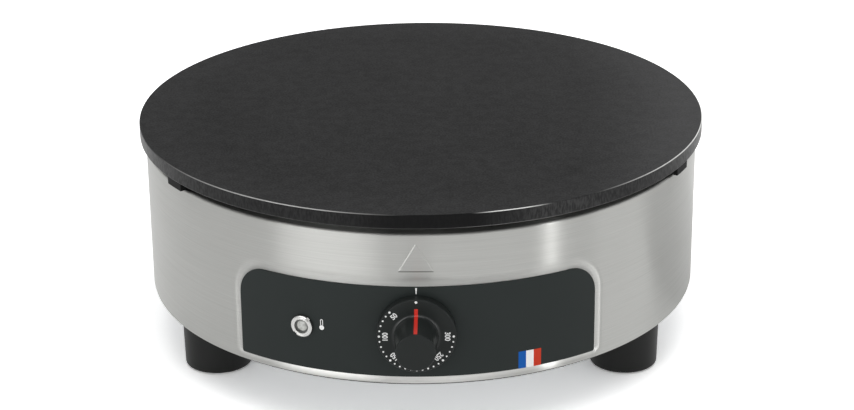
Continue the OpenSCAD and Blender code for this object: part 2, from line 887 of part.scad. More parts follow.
// Where the leads join the pieces, and the way they leave them.
function tab_end(x, dz) = [x, -(case_back - tab_l - lead_gap), knob_z + dz];
function block_end(i) = [
    block_x + block_poles[i] * block_pitch, block_y - block_l / 2 - lead_gap, block_bore_z
];
function leg_angle(r) = asin((leg_spacing / 2 + element_bend_r) / r);
function leg_local(r, side) =
    let (a = leg_angle(r))
    [r * cos(a) + element_bend_r * sin(a), side * (r * sin(a) - element_bend_r * cos(a))];
function leg_at(r, side, z) =
    let (p = leg_local(r, side), c = cos(element_dir), s = sin(element_dir))
    [p[0] * c - p[1] * s, p[0] * s + p[1] * c, z];
function lamp_end(side) =
    let (p = around(lamp_az, lamp_back - lamp_lead_l - lead_gap, lamp_z))
    p + side * lamp_lead_x * [cos(lamp_az), sin(lamp_az), 0];

// ---------------------------------------------------------------- temperature sensing

module capillary_tube() {
    start = [0, -(case_back - lead_gap), knob_z];
    end = [bulb_l / 2 + lead_gap, bulb_y, bulb_z];
    up = [capillary_x, bulb_y, 0];
    color([0.72, 0.45, 0.30])
        lead([
            start, start + [0, 10, 0], start + [16, 20, 5], start + [40, 30, 16],
            up + [0, 0, pan_bottom - 14], up + [0, 0, pan_bottom - 4],
            up + [0, 0, pan_bottom + 10], up + [0, 0, bulb_z - 9],
            up + [-2.6, 0, bulb_z - 2.6], up + [-9, 0, bulb_z], end
        ], capillary_r, 3);
}

module sensor_bulb() {
    color([0.78, 0.52, 0.36])
        translate([-bulb_l / 2, bulb_y, bulb_z]) rotate([0, 90, 0]) cylinder(d = bulb_d, h = bulb_l);
}

// Two saddles on the clamp disc press the bulb against the plate.
module bulb_clip() {
    saddle_h = bulb_z - disc_top - fit;
    saddle_w = 10;
    saddle_l = 16;
    saddle_x = bulb_l / 2 - 15;
    color([0.76, 0.76, 0.78])
        for (x = [-saddle_x, saddle_x])
            translate([x - saddle_w / 2, bulb_y - saddle_l / 2, disc_top])
                difference() {
                    cube([saddle_w, saddle_l, saddle_h]);
                    translate([0, saddle_l / 2, bulb_z - disc_top]) rotate([0, 90, 0])
                        hole(bulb_d / 2 + fit, 0, saddle_w);
                }
}

// ---------------------------------------------------------------- pilot lamp

module lamp_bezel() {
    notch_w = 2.2;
    notch_depth = 1.4;
    notch_l = 1.6;
    edge_r = 1;
    color([0.85, 0.85, 0.86])
        outward(lamp_az, lamp_z)
            difference() {
                union() {
                    translate([0, 0, bezel_back])
                        rotate_extrude()
                            polygon(concat(
                                [[0, 0], [bezel_d / 2, 0]],
                                arc(bezel_d / 2 - edge_r, bezel_t - edge_r, edge_r, 0, 90, 4),
                                [[0, bezel_t]]
                            ));
                    translate([0, 0, lamp_tube_end])
                        cylinder(r = lamp_thread_r, h = lamp_tube_l + eps);
                }
                hole(lamp_bore_r, lamp_tube_end, bezel_back + bezel_t);
                for (turn = notch_turns) rotate([0, 0, turn]) translate([
                    bezel_d / 2 - notch_l, -notch_w / 2, bezel_back + bezel_t - notch_depth
                ])
                    cube([notch_l + cut, notch_w, notch_depth + cut]);
            }
}

module lamp_lens() {
    lens_r = lens_d / 2;
    rise = 1.1;
    dome_r = (lens_r * lens_r + rise * rise) / (2 * rise);
    shoulder = fascia_r + lens_proud - rise;
    color([0.90, 0.88, 0.80])
        outward(lamp_az, lamp_z) {
            translate([0, 0, lens_seat - lens_seat_l])
                cylinder(r = lamp_bore_r - fit, h = lens_seat_l);
            translate([0, 0, lens_seat - eps]) cylinder(r = lens_r, h = shoulder - lens_seat + eps);
            intersection() {
                translate([0, 0, shoulder + rise - dome_r]) sphere(r = dome_r);
                translate([0, 0, shoulder - eps]) cylinder(r = lens_r, h = rise + eps);
            }
        }
}

module lamp_body() {
    plug_top = lens_seat - lens_seat_l - fit;
    tag_r = 0.8;
    color([0.92, 0.92, 0.90])
        outward(lamp_az, lamp_z) {
            translate([0, 0, lamp_back]) cylinder(r = lamp_thread_r, h = lamp_plug_l);
            translate([0, 0, lamp_back])
                cylinder(r = lamp_bore_r - fit, h = plug_top - lamp_back);
            for (side = [-1, 1]) translate([side * lamp_lead_x, 0, lamp_back - lamp_lead_l])
                cylinder(r = tag_r, h = lamp_lead_l + eps);
        }
}

module lamp_nut() {
    corner_r = lamp_nut_af / 2 / cos(30);
    sag = recess_in_r - sqrt(recess_in_r * recess_in_r - corner_r * corner_r);
    color([0.85, 0.85, 0.86])
        outward(lamp_az, lamp_z) translate([0, 0, recess_in_r - sag - fit - lamp_nut_h])
            hex_nut(lamp_nut_af, lamp_nut_h, lamp_thread_r);
}

// ---------------------------------------------------------------- heating

// Centre line of one bend: from the ring's end, side of the gap, down to its leg.
function bend_points(r, side) =
    let (a = side * leg_angle(r))
    [for (t = [15:15:90])
        [
            r * cos(a) + side * element_bend_r * sin(t) * sin(a),
            r * sin(a) - side * element_bend_r * sin(t) * cos(a),
            element_z - element_bend_r * (1 - cos(t))
        ]];

// Centre line of one element: up a leg, round the ring and down the other leg.
function element_path(r) =
    let (
        a = leg_angle(r), steps = 56, first = bend_points(r, -1), last = bend_points(r, 1),
        foot = [0, 0, leg_end - element_z + element_bend_r]
    )
    concat(
        [first[5] + foot], [for (i = [5:-1:0]) first[i]],
        [for (i = [0:steps])
            let (t = -a - (360 - 2 * a) * i / steps) [r * cos(t), r * sin(t), element_z]],
        last, [last[5] + foot]
    );

// One open ring; both ends turn down through the insulation.
module heating_element(r) {
    color([0.42, 0.38, 0.36])
        rotate([0, 0, element_dir]) sweep(element_path(r), tube_d / 2, 12);
}

module at_legs(z) {
    for (r = [element_outer_r, element_inner_r]) for (side = [-1, 1])
        translate(leg_at(r, side, z)) children();
}

module element_seals() {
    color([0.93, 0.92, 0.88])
        at_legs(leg_end - seal_l)
            difference() {
                cylinder(d = tube_d, h = seal_l, $fn = 32);
                hole(pin_r + fit, 0, seal_l);
            }
}

module element_pins() {
    color([0.78, 0.76, 0.72])
        at_legs(pin_end) cylinder(r = pin_r, h = pin_l + seal_l);
}

// Holes for whatever passes through the disc, the blanket and the pan.
module service_holes(z0, z1, rod_gap, stud_r) {
    translate([0, 0, z0]) {
        cylinder(r = rod_gap, h = z1 - z0);
        for (a = stud_angles) rotate([0, 0, a]) translate([element_mid_r, 0, 0])
            cylinder(r = stud_r, h = z1 - z0);
        translate([capillary_x, bulb_y, 0]) cylinder(r = capillary_r + 2, h = z1 - z0);
    }
    at_legs(z0) cylinder(r = tube_d / 2 + leg_gap, h = z1 - z0);
}

// Slots under the bends, where the tubes turn down into the holes.
module bend_slots(z0, z1) {
    w = tube_d + leg_gap;
    rotate([0, 0, element_dir])
        for (r = [element_outer_r, element_inner_r]) for (side = [-1, 1])
            rotate([0, 0, side * leg_angle(r)])
                translate([r - w / 2, side > 0 ? -element_bend_r : -1, z0])
                    cube([w, element_bend_r + 1, z1 - z0]);
}

module element_clamp_disc() {
    color([0.66, 0.66, 0.66])
        difference() {
            translate([0, 0, disc_bottom]) cylinder(r = disc_r, h = disc_t);
            service_holes(disc_bottom - cut, disc_top + cut, rod_boss_r + clear, m6_r + clear);
            bend_slots(disc_bottom - cut, disc_top + cut);
        }
}

module clamp_studs() {
    color([0.74, 0.74, 0.76])
        for (a = stud_angles) rotate([0, 0, a]) translate([element_mid_r, 0, stud_bottom])
            cylinder(r = m6_r, h = plate_bottom + stud_depth - blind_end - stud_bottom);
}

module stud_nuts(z) {
    color([0.78, 0.78, 0.80])
        for (a = stud_angles) rotate([0, 0, a]) translate([element_mid_r, 0, z])
            hex_nut(m6_nut_af, m6_nut_h, m6_r);
}

module insulation_blanket() {
    color([0.86, 0.82, 0.70])
        difference() {
            translate([0, 0, pan_floor_top])
                cylinder(r = pan_r - pan_t - clear, h = disc_bottom - pan_floor_top);
            service_holes(
                pan_floor_top - cut, disc_bottom + cut, rod_r + clear,
                m6_nut_af / 2 / cos(30) + clear
            );
            bend_slots(element_z - element_bend_r - cut, disc_bottom + cut);
        }
}

module insulation_pan() {
    color([0.72, 0.73, 0.74])
        difference() {
            translate([0, 0, pan_bottom]) cylinder(r = pan_r, h = disc_top - pan_bottom);
            translate([0, 0, pan_floor_top]) cylinder(r = pan_r - pan_t, h = disc_top);
            service_holes(pan_bottom - cut, pan_floor_top + cut, rod_r + clear, m6_r + clear);
        }
}

// ---------------------------------------------------------------- tie rod

module tie_rod() {
    color([0.74, 0.74, 0.76])
        translate([0, 0, rod_bottom]) cylinder(
            r = rod_r, h = plate_bottom + rod_depth - blind_end - rod_bottom
        );
}

module tie_rod_washer() {
    color([0.78, 0.78, 0.80])
        tube(rod_washer_r, rod_r + clear, foot_h - rod_washer_t, foot_h);
}

module tie_rod_nut() {
    color([0.78, 0.78, 0.80])
        translate([0, 0, foot_h - rod_washer_t - rod_nut_h])
            hex_nut(rod_nut_af, rod_nut_h, rod_r);
}

// ---------------------------------------------------------------- wiring

module terminal_block() {
    head_gap = 0.6;
    color([0.90, 0.89, 0.84])
        difference() {
            translate([block_x - block_w / 2, block_y - block_l / 2, base_top])
                cube([block_w, block_l, block_h]);
            for (i = block_poles) translate([block_x + i * block_pitch, block_y, 0]) {
                translate([0, block_l / 2, block_bore_z]) rotate([90, 0, 0])
                    hole(block_bore_r, 0, block_l);
                translate([0, 0, block_bore_z]) cylinder(r = block_clamp_r + close, h = block_h);
            }
            for (x = block_screw_x) translate([x, block_y, 0]) {
                hole(m4_r + close, base_top, base_top + block_h);
                hole(m4_head_r + head_gap, block_screw_seat + cut, base_top + block_h);
            }
        }
}

// Screws through the block; their thread forms in the base plate.
module terminal_block_screws() {
    color([0.80, 0.80, 0.82])
        for (x = block_screw_x) translate([x, block_y, block_screw_seat]) rotate([180, 0, 0])
            button_screw(m4_r, m4_head_r, m4_head_h, block_screw_seat - foot_h + thread_end);
}

module terminal_clamps() {
    color([0.82, 0.70, 0.38])
        for (i = block_poles)
            translate([block_x + i * block_pitch, block_y, block_bore_z + block_bore_r])
                cylinder(r = block_clamp_r, h = block_clamp_h);
}

// Press-in stud: its head lies under the base plate.
module earth_stud() {
    head_r = 5;
    head_t = 1;
    color([0.80, 0.68, 0.35])
        translate([earth_at[0], earth_at[1], foot_h]) {
            translate([0, 0, -head_t]) cylinder(r = head_r, h = head_t);
            translate([0, 0, -eps]) cylinder(r = m5_r, h = base_t + 2 * m5_nut_h + 4 * thread_end);
        }
}

module earth_nuts() {
    color([0.82, 0.70, 0.38])
        for (i = [0, 1])
            translate([earth_at[0], earth_at[1], base_top + i * (m5_nut_h + fit)])
                hex_nut(m5_nut_af, m5_nut_h, m5_r);
}

module wire_live() {
    start = block_end(0);
    end = tab_end(-tab_x, tab_dz);
    color([0.40, 0.24, 0.14])
        lead([
            start, start + [0, -12, 0], start + [-6, -50, -3], [-70, 0, base_top + 6],
            end + [-36, 46, -26], end + [-10, 26, -8], end + [0, 12, 0], end
        ]);
}

module wire_heater() {
    start = tab_end(tab_x, tab_dz);
    end = leg_at(element_inner_r, -1, pin_end - lead_gap);
    color([0.12, 0.12, 0.12])
        lead([
            start, start + [0, 12, 0], start + [20, 34, -0.5 * pin_drop],
            start + [48, 70, -0.8 * pin_drop], end + [14, -60, -0.95 * pin_drop],
            end + [6, -26, -0.9 * pin_drop], end + [0, 0, -0.5 * pin_drop],
            end + [0, 0, -0.2 * pin_drop], end
        ]);
}

module wire_neutral() {
    start = block_end(2);
    end = leg_at(element_inner_r, 1, pin_end - lead_gap);
    color([0.15, 0.30, 0.62])
        lead([
            start, start + [0, -12, 0], start + [18, -40, 4], end + [-34, -14, -1.25 * pin_drop],
            end + [-8, -4, -0.95 * pin_drop], end + [0, 0, -0.5 * pin_drop],
            end + [0, 0, -0.2 * pin_drop], end
        ]);
}

module wire_earth() {
    start = block_end(3);
    end = [earth_at[0], earth_at[1] - m5_nut_af / 2 / cos(30) - lead_gap, base_top + m5_nut_h / 2];
    color([0.45, 0.62, 0.16])
        lead([
            start, start + [0, -12, 0], start + [22, -24, -4], end + [-6, -24, 0],
            end + [0, -12, 0], end
        ]);
}

module lamp_wires() {
    live_start = tab_end(-tab_x, -tab_dz);
    live_end = lamp_end(1);
    neutral_start = block_end(1);
    neutral_end = lamp_end(-1);
    inward = [-sin(lamp_az), cos(lamp_az), 0];
    color([0.30, 0.30, 0.32]) {
        lead([
            live_start, live_start + [0, 10, 0], live_start + [-12, 20, -3],
            live_end + 22 * inward + [8, 0, 3], live_end + 9 * inward, live_end
        ], 1);
        lead([
            neutral_start, neutral_start + [0, -12, 0], neutral_start + [-4, -50, 8],
            [-48, 0, base_top + 20], neutral_end + 60 * inward + [0, 0, -10],
            neutral_end + 24 * inward, neutral_end + 9 * inward, neutral_end
        ], 1);
    }
}

// Short leads from each inner pin to the outer pin beside it.
module element_links() {
    link_z = pin_end + 4;
    gap = pin_r + lead_gap;
    sag = 9;
    color([0.60, 0.58, 0.54])
        rotate([0, 0, element_dir])
            for (side = [-1, 1]) {
                a = concat(leg_local(element_inner_r, side), [link_z]) + [gap, 0, 0];
                b = concat(leg_local(element_outer_r, side), [link_z]) - [gap, 0, 0];
                lead([
                    a, a + [7, 0, 0], (a + b) / 2 - [0, 0, sag], b - [7, 0, 0], b
                ]);
            }
}

// ---------------------------------------------------------------- cable gland

module gland_body() {
    back = drum_in_r - gland_inner_l;
    color([0.14, 0.14, 0.14])
        outward(180, gland_z)
            difference() {
                union() {
                    translate([0, 0, back]) cylinder(r = gland_r, h = gland_back - back + eps);
                    translate([0, 0, gland_back]) hexagon(gland_af, gland_flange_l);
                    translate([0, 0, gland_back])
                        cylinder(r = gland_collar_r, h = seal_start + seal_len - gland_back);
                }
                hole(cord_d / 2 + clear, back, seal_start);
                translate([0, 0, seal_start]) cylinder(r = seal_r + fit, h = seal_len + cut);
            }
}

module gland_dome_nut() {
    hex_l = 10;
    dome_r = 5;
    color([0.14, 0.14, 0.14])
        outward(180, gland_z)
            difference() {
                union() {
                    translate([0, 0, gland_flange_end + fit]) hexagon(gland_af, hex_l);
                    rotate_extrude()
                        polygon(concat(
                            [[0, gland_flange_end + fit], [gland_af / 2, gland_flange_end + fit]],
                            arc(gland_af / 2 - dome_r, gland_end - dome_r, dome_r, 0, 90, 8),
                            [[0, gland_end]]
                        ));
                }
                translate([0, 0, gland_flange_end - cut]) cylinder(
                    r = gland_collar_r + fit, h = cut + seal_start + seal_len + fit - gland_flange_end
                );
                hole(cord_d / 2 + clear, gland_flange_end, gland_end);
            }
}

// Rubber bush that grips the cord.
module gland_seal() {
    color([0.20, 0.20, 0.21])
        outward(180, gland_z) tube(seal_r, cord_d / 2, seal_start, seal_start + seal_len);
}

module gland_locknut() {
    af = gland_af + 1;
    corner_r = af / 2 / cos(30);
    sag = drum_in_r - sqrt(drum_in_r * drum_in_r - corner_r * corner_r);
    color([0.14, 0.14, 0.14])
        outward(180, gland_z) translate([0, 0, drum_in_r - sag - fit - gland_nut_h])
            hex_nut(af, gland_nut_h, gland_r);
}
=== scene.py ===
# %% [markdown]
# # Electric crepe maker: the looks
# The machine is a cast-iron plate on a drum of brushed steel. The frame already holds every
# part at its true size, so this lesson does two things: it remakes the parts that are seen
# close up with soft edges, pressed shapes and printed marks, and it gives each part the
# finish of its real material.

# %% Load the frame
from math import atan, cos, degrees, pi, radians, sin

import bmesh
import bpy
from mathutils import Matrix, Vector


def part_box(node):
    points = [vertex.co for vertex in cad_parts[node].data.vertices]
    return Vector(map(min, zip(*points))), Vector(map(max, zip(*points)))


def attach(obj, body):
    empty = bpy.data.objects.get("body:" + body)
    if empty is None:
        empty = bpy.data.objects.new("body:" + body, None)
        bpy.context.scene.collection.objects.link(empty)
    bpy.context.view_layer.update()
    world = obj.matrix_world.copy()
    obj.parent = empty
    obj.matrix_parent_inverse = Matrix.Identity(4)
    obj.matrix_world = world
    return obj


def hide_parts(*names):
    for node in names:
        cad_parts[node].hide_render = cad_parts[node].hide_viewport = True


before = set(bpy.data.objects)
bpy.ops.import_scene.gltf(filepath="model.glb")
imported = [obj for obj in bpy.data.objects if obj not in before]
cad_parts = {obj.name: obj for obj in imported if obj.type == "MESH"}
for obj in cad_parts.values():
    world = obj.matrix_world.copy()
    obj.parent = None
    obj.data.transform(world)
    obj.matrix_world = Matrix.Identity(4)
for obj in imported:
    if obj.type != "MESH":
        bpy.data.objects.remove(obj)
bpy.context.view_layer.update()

# %% [markdown]
# ## Measures
# Everything is placed from the boxes of the CAD parts, so nothing has to be fitted by eye.
# What a box can't tell is written here once: the thickness of the sheet and of the plate's
# rim, the lamp's angle, the edges of the pressed recess, the small triangle above it and the
# taper of the knob's grip. Modelling is done in millimetres, and the finished mesh is scaled
# to metres.

# %% Measures taken from the frame
MM = 0.001


def box_mm(node):
    """Lowest and highest corner of a CAD part, in millimetres."""
    low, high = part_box(node)
    return Vector(low) / MM, Vector(high) / MM


drum_low, drum_high = box_mm("drum_shell")
drum_r, drum_foot, drum_top = drum_high.x, drum_low.z, drum_high.z
plate_high = box_mm("cooking_plate")[1]
plate_r, plate_top, plate_t = plate_high.x, plate_high.z, 9.8
rim_foot = plate_top - plate_t
panel_low, panel_high = box_mm("control_fascia")
panel_r, panel_foot, panel_top = -panel_low.y, panel_low.z, panel_high.z
recess_foot, recess_top = 39.2, panel_top + 7.0
knob_low, knob_high = box_mm("knob")
knob_axis = (knob_low.z + knob_high.z) / 2
knob_back, knob_end = -knob_high.y, -knob_low.y
bezel_low, bezel_high = box_mm("lamp_bezel")
lamp_height, lamp_turn = (bezel_low.z + bezel_high.z) / 2, radians(-22.5)
lamp_way = (sin(lamp_turn), -cos(lamp_turn), 0)
base_r = box_mm("base_plate")[1].x
sheet_t = 1.0
triangle_w, triangle_h, triangle_foot = 23.2, 19.8, 118.9
grip_r, end_r, fillet_r = 14.4, 12.9, 1.2
print(f"drum radius {drum_r:.1f}, panel radius {panel_r:.2f}, knob axis {knob_axis:.1f} mm up")

# %% [markdown]
# ## Camera
# The object is looked at slightly from above with a long lens, which keeps the round plate
# from bulging. The camera is set by where it stands and by three turns: round the vertical,
# down towards the plate, and a slight tilt of the picture. The Standard view shows colours
# as they are written.

# %% Camera
CAMERA_PLACE = Vector((33.3, -1535.1, 714.6)) * MM
CAMERA_TURN = radians(1.1)
CAMERA_DOWN = radians(22.298)
CAMERA_TILT = radians(-0.556)
LENS = 96.15

camera = bpy.data.objects.new("camera", bpy.data.cameras.new("camera"))
camera.data.lens = LENS
camera.data.sensor_width = 36
camera.data.clip_start = 0.01
camera.matrix_world = (
    Matrix.Translation(CAMERA_PLACE)
    @ Matrix.Rotation(CAMERA_TURN, 4, "Z")
    @ Matrix.Rotation(pi / 2 - CAMERA_DOWN, 4, "X")
    @ Matrix.Rotation(CAMERA_TILT, 4, "Z")
)
bpy.context.scene.collection.objects.link(camera)
bpy.context.scene.camera = camera
bpy.context.scene.view_settings.view_transform = "Standard"
print(f"camera {CAMERA_PLACE.length:.2f} m away, looking {degrees(CAMERA_DOWN):.1f} degrees down")

# %% [markdown]
# ## Writing materials as sums
# A material is a small calculation for each point of a surface. Here a node's output is
# wrapped so that plus, minus and times build the Math nodes, and the finishes below read
# like formulas. Every other node comes from one method, `node`. Masks are made the same way:
# `rise` goes from 0 to 1 between two places, and `band` comes back to 0 further on.

# %% A socket that can be calculated with
class Value:
    """One number in a material; arithmetic on it adds Math nodes."""

    def __init__(self, finish, socket):
        self.finish, self.socket = finish, socket

    def _math(self, operation, first, second=0.0):
        return self.finish.node("Math", {"operation": operation}, {0: first, 1: second})

    def __add__(self, other):
        return self._math("ADD", self, other)

    __radd__ = __add__

    def __sub__(self, other):
        return self._math("SUBTRACT", self, other)

    def __rsub__(self, other):
        return self._math("SUBTRACT", other, self)

    def __mul__(self, other):
        return self._math("MULTIPLY", self, other)

    __rmul__ = __mul__

    def step(self, start, end):
        """0 below start, 1 above end, and a soft rise between them."""
        inputs = {"Value": self, "From Min": start, "From Max": end}
        return self.finish.node("MapRange", {"interpolation_type": "SMOOTHSTEP"}, inputs)

    def rise(self, start, end):
        """The same for a place on the object, with start and end in millimetres."""
        return self.step(start * MM, end * MM)

    def band(self, start, full, still_full, end):
        """0 before start, 1 from full to still_full, 0 again from end, in millimetres."""
        return self.rise(start, full) * (1.0 - self.rise(still_full, end))

# %% A finish, built up node by node
class Finish:
    """A material, or the world, that is built up node by node."""

    def __init__(self, name, world=False):
        self.material = (bpy.data.worlds if world else bpy.data.materials).new(name)
        self.material.use_nodes = True
        self.tree = self.material.node_tree
        self.tree.nodes.clear()

    def node(self, kind, settings=None, inputs=None, output=0):
        """Adds a node: its settings first, then the values or links of its sockets."""
        node = self.tree.nodes.new("ShaderNode" + kind)
        for name, setting in (settings or {}).items():
            setattr(node, name, setting)
        for name, given in (inputs or {}).items():
            if isinstance(given, Value):
                self.tree.links.new(given.socket, node.inputs[name])
            else:
                node.inputs[name].default_value = given
        return Value(self, node.outputs[output]) if node.outputs else None

    def place(self, stretch=(1, 1, 1), turn=(0, 0, 0), move=(0, 0, 0)):
        """Object coordinates, stretched, turned and moved."""
        where = self.node("TexCoord", output="Object")
        inputs = {"Vector": where, "Scale": stretch, "Rotation": turn, "Location": move}
        return self.node("Mapping", {}, inputs)

    def noise(self, scale, where=None, detail=3.0, roughness=0.5):
        inputs = {"Vector": where or self.place(), "Scale": scale, "Detail": detail}
        return self.node("TexNoise", {}, {**inputs, "Roughness": roughness})

    def from_axis(self, direction, height=0.0):
        """Distance from a line that leaves the upright axis at a height."""
        where = self.place(move=(0, 0, -height * MM))
        across = self.node("VectorMath", {"operation": "CROSS_PRODUCT"}, {0: where, 1: direction})
        return self.node("VectorMath", {"operation": "LENGTH"}, {0: across}, output="Value")

    def along(self, axis):
        """Place along one axis: X to the right, Y to the back, Z up."""
        return self.node("SeparateXYZ", {}, {0: self.place()}, output=axis)

    def between(self, amount, low, high):
        """Goes from one number to another as amount goes from 0 to 1."""
        return amount * (high - low) + low

    def tint(self, amount, dark, light):
        """Goes from one colour to another as amount goes from 0 to 1."""
        inputs = {"Factor": amount, 6: (*dark, 1), 7: (*light, 1)}
        return self.node("Mix", {"data_type": "RGBA"}, inputs, output=2)

    def bump(self, height, distance, strength=1.0):
        inputs = {"Height": height, "Distance": distance, "Strength": strength}
        return self.node("Bump", {}, inputs)

    def surface(self, **sockets):
        """Ends the material with one Principled shader; an underscore stands for a space."""
        inputs = {name.replace("_", " "): given for name, given in sockets.items()}
        shader = self.node("BsdfPrincipled", {}, inputs, output="BSDF")
        self.node("OutputMaterial", {}, {"Surface": shader})
        return self.material

# %% [markdown]
# ## Floor, background and light
# A plain studio: a pale floor that keeps the machine's shadow, a white background, and seven
# soft lamps. Brushed steel shows every lamp as an upright band, so the lamps are placed for
# the drum. The wide one at the left front gives it its broad bright area, the narrow one at
# the right front a thin band, and a small one in the middle lifts the strip of steel under
# the knob. The one above lights the plate. Three weak ones, at the front, the right and the
# back, keep the rest of the drum from going dark. A grey card on the floor at the right is
# seen by the steel only; it draws the soft darker band there. The floor and the world are
# whiter where the camera looks at them, through the Light Path node, so the background
# doesn't add light to the machine.

# %% Background
FRONT_LEVEL, BACK_LEVEL = 0.55, 1.0


def make_world():
    """White to the camera; for the machine, brighter behind it than in front."""
    finish = Finish("studio", world=True)
    direction = finish.node("TexCoord", output="Generated")
    behind = finish.node("SeparateXYZ", {}, {0: direction}, output="Y").step(0.2, 0.85)
    seen = finish.node("LightPath", output="Is Camera Ray")
    level = finish.between(behind, FRONT_LEVEL, BACK_LEVEL)
    strength = seen + (1.0 - seen) * level
    light = finish.node("Background", {}, {"Strength": strength})
    finish.node("OutputWorld", {}, {"Surface": light})
    return finish.material


bpy.context.scene.world = make_world()

# %% Floor
FLOOR_HALF = 12


def add_object(name, bm, material):
    """Turns a bmesh into an object with one material and frees the bmesh."""
    mesh = bpy.data.meshes.new(name)
    bm.to_mesh(mesh)
    bm.free()
    mesh.materials.append(material)
    piece = bpy.data.objects.new(name, mesh)
    bpy.context.scene.collection.objects.link(piece)
    return piece


def make_floor():
    """Pale and matt, with a share of glow that only the camera, metal and glass see."""
    finish = Finish("studio_floor")
    kinds = ("Is Camera Ray", "Is Glossy Ray", "Is Transmission Ray")
    seen, mirrored_in, seen_through = [finish.node("LightPath", output=kind) for kind in kinds]
    grey = finish.between(finish.noise(60.0, detail=2), 0.90, 0.94)
    colour = grey * finish.between(seen, 1.0, 1.88)
    matt = finish.node("BsdfDiffuse", {}, {"Color": colour})
    glow = finish.node("Emission", {}, {"Color": (1, 1, 1, 1), "Strength": 1.55})
    share = seen * 0.10 + mirrored_in * 0.25 + seen_through * 0.25
    look = finish.node("MixShader", {}, {0: share, 1: matt, 2: glow})
    finish.node("OutputMaterial", {}, {"Surface": look})
    bm = bmesh.new()
    bmesh.ops.create_grid(bm, x_segments=1, y_segments=1, size=FLOOR_HALF)
    return add_object("studio_floor", bm, finish.material)

# %% Grey card
CARD_LIFT = 0.001


def make_card(middle, radius):
    """A dark card that lies on the floor where only the steel sees it."""
    finish = Finish("studio_card")
    grey = finish.between(finish.noise(40.0, detail=2), 0.62, 0.68)
    matt = finish.node("BsdfDiffuse", {}, {"Color": grey})
    finish.node("OutputMaterial", {}, {"Surface": matt})
    bm = bmesh.new()
    bmesh.ops.create_circle(bm, cap_ends=True, segments=48, radius=radius)
    bmesh.ops.translate(bm, vec=(*middle, CARD_LIFT), verts=bm.verts)
    card = add_object("studio_card", bm, finish.material)
    card.visible_camera = card.visible_shadow = card.visible_diffuse = False
    return card


make_floor()
make_card((0.32, 0.09), 0.14)
print("floor", 2 * FLOOR_HALF, "m wide, with a grey card on it")

# %% Lamps
AIM = Vector((0, 0, 0.1))


def softbox(name, azimuth, up, distance, size, radiance, shape):
    """A lamp that looks at the machine; its azimuth counts from the front to the right."""
    width, height = size
    light = bpy.data.lights.new(name, "AREA")
    light.shape, light.size, light.size_y = shape, width, height
    light.energy = radiance * pi * width * height
    lamp = bpy.data.objects.new(name, light)
    turn, rise = radians(azimuth), radians(up)
    way = Vector((sin(turn) * cos(rise), -cos(turn) * cos(rise), sin(rise)))
    lamp.matrix_world = (
        Matrix.Translation(AIM + way * distance)
        @ way.to_track_quat("Z", "Y").to_matrix().to_4x4()
    )
    lamp.visible_camera = False
    bpy.context.scene.collection.objects.link(lamp)


softbox("lamp_left", -35, 10, 1.8, (1.35, 0.65), 2.2, "ELLIPSE")
softbox("lamp_front", 22, 8, 1.9, (1.5, 0.5), 0.3, "ELLIPSE")
softbox("lamp_middle", 1, 20, 1.6, (0.55, 0.14), 1.6, "ELLIPSE")
softbox("lamp_strip", 50.3, 10, 1.8, (0.10, 0.65), 10.0, "RECTANGLE")
softbox("lamp_right", 84, 10, 1.8, (0.95, 0.65), 0.6, "RECTANGLE")
softbox("lamp_back", 150, 28, 2.4, (1.2, 1.0), 1.2, "ELLIPSE")
softbox("lamp_above", 10, 78, 2.4, (2.2, 2.2), 1.6, "RECTANGLE")
print("seven lamps,", len(bpy.context.scene.world.node_tree.nodes), "nodes in the world")

# %% [markdown]
# ## Brushed steel
# The drum is rolled from sheet that was brushed along its length, so the grooves run round
# the drum. Grooves like that smear a reflection across themselves: a lamp becomes an upright
# band. The anisotropic setting makes the smear. A noise that is stretched out level and
# squeezed upwards makes the grooves themselves. Where the sheet is pressed in round the
# panel it isn't brushed, so it is duller there. Its paler colour there is painted light, which
# lifts the recess where the panel's edge shades it, and most at the strip under the panel.
# More painted light brightens that strip under the knob, which shades it, and painted shade
# darkens the fold at the drum's foot and the lower edge of the triangle.

# %% Brushed steel
def brushed_steel():
    """Grooved sheet, with painted light on the recess and painted shade at two creases."""
    finish = Finish("brushed_steel")
    grooves = finish.noise(1.0, finish.place((14, 14, 2600)), detail=4, roughness=0.7)
    streaks = finish.noise(1.0, finish.place((18, 18, 1300)), detail=3, roughness=0.6)
    cloud = finish.noise(9.0, detail=2)
    level = (grooves * 0.5 + streaks * 0.3 + cloud * 0.2).step(0.12, 0.88)
    up, to_right, outwards = finish.along("Z"), finish.along("X"), finish.from_axis((0, 0, 1))
    front = 1.0 - finish.along("Y").rise(-150, -50)
    foot, half = triangle_foot, triangle_w / 2
    # Painted shade: a dark line along the front of the triangle's foot.
    crease = up.band(foot - 0.5, foot - 0.2, foot + 0.2, foot + 0.5)
    crease = crease * to_right.band(-half - 0.2, -half + 0.6, half - 0.6, half + 0.2) * front
    sunk = 1.0 - outwards.rise(drum_r - 1.1, drum_r - 0.1)
    pressed = sunk * up.band(drum_foot + 1, drum_foot + 2, recess_top + 1, recess_top + 3)
    at_foot = 1.0 - up.rise(panel_foot - 0.6, panel_foot + 2.4)
    # Painted shade on the fold at the drum's foot.
    painted_shade_at_fold = 1.0 - up.rise(drum_foot + 0.4, drum_foot + 1.0)
    # Painted light on the strip under the knob, where the knob shades it.
    painted_light_under_knob = at_foot * front * to_right.band(-30, -5, 5, 70)
    # The recess's paler colour, strongest at its foot, is painted light; the grooves' tone is
    # real.
    shine = level * 0.24 + 0.45 + pressed * (at_foot * 0.15 + 0.25) + painted_light_under_knob * 0.25
    tone_with_painted_light = shine * (1.0 - crease * 0.65) * (1.0 - painted_shade_at_fold)
    return finish.surface(
        Base_Color=finish.tint(tone_with_painted_light, (0.10, 0.105, 0.09), (0.85, 0.85, 0.827)),
        Metallic=1.0,
        Roughness=finish.between(streaks, 0.31, 0.39) + pressed * (1.0 - at_foot) * 0.25,
        Anisotropic=1.0,
        Anisotropic_Rotation=0.25,
        Normal=finish.bump(grooves, 0.01 * MM, 0.35),
    )
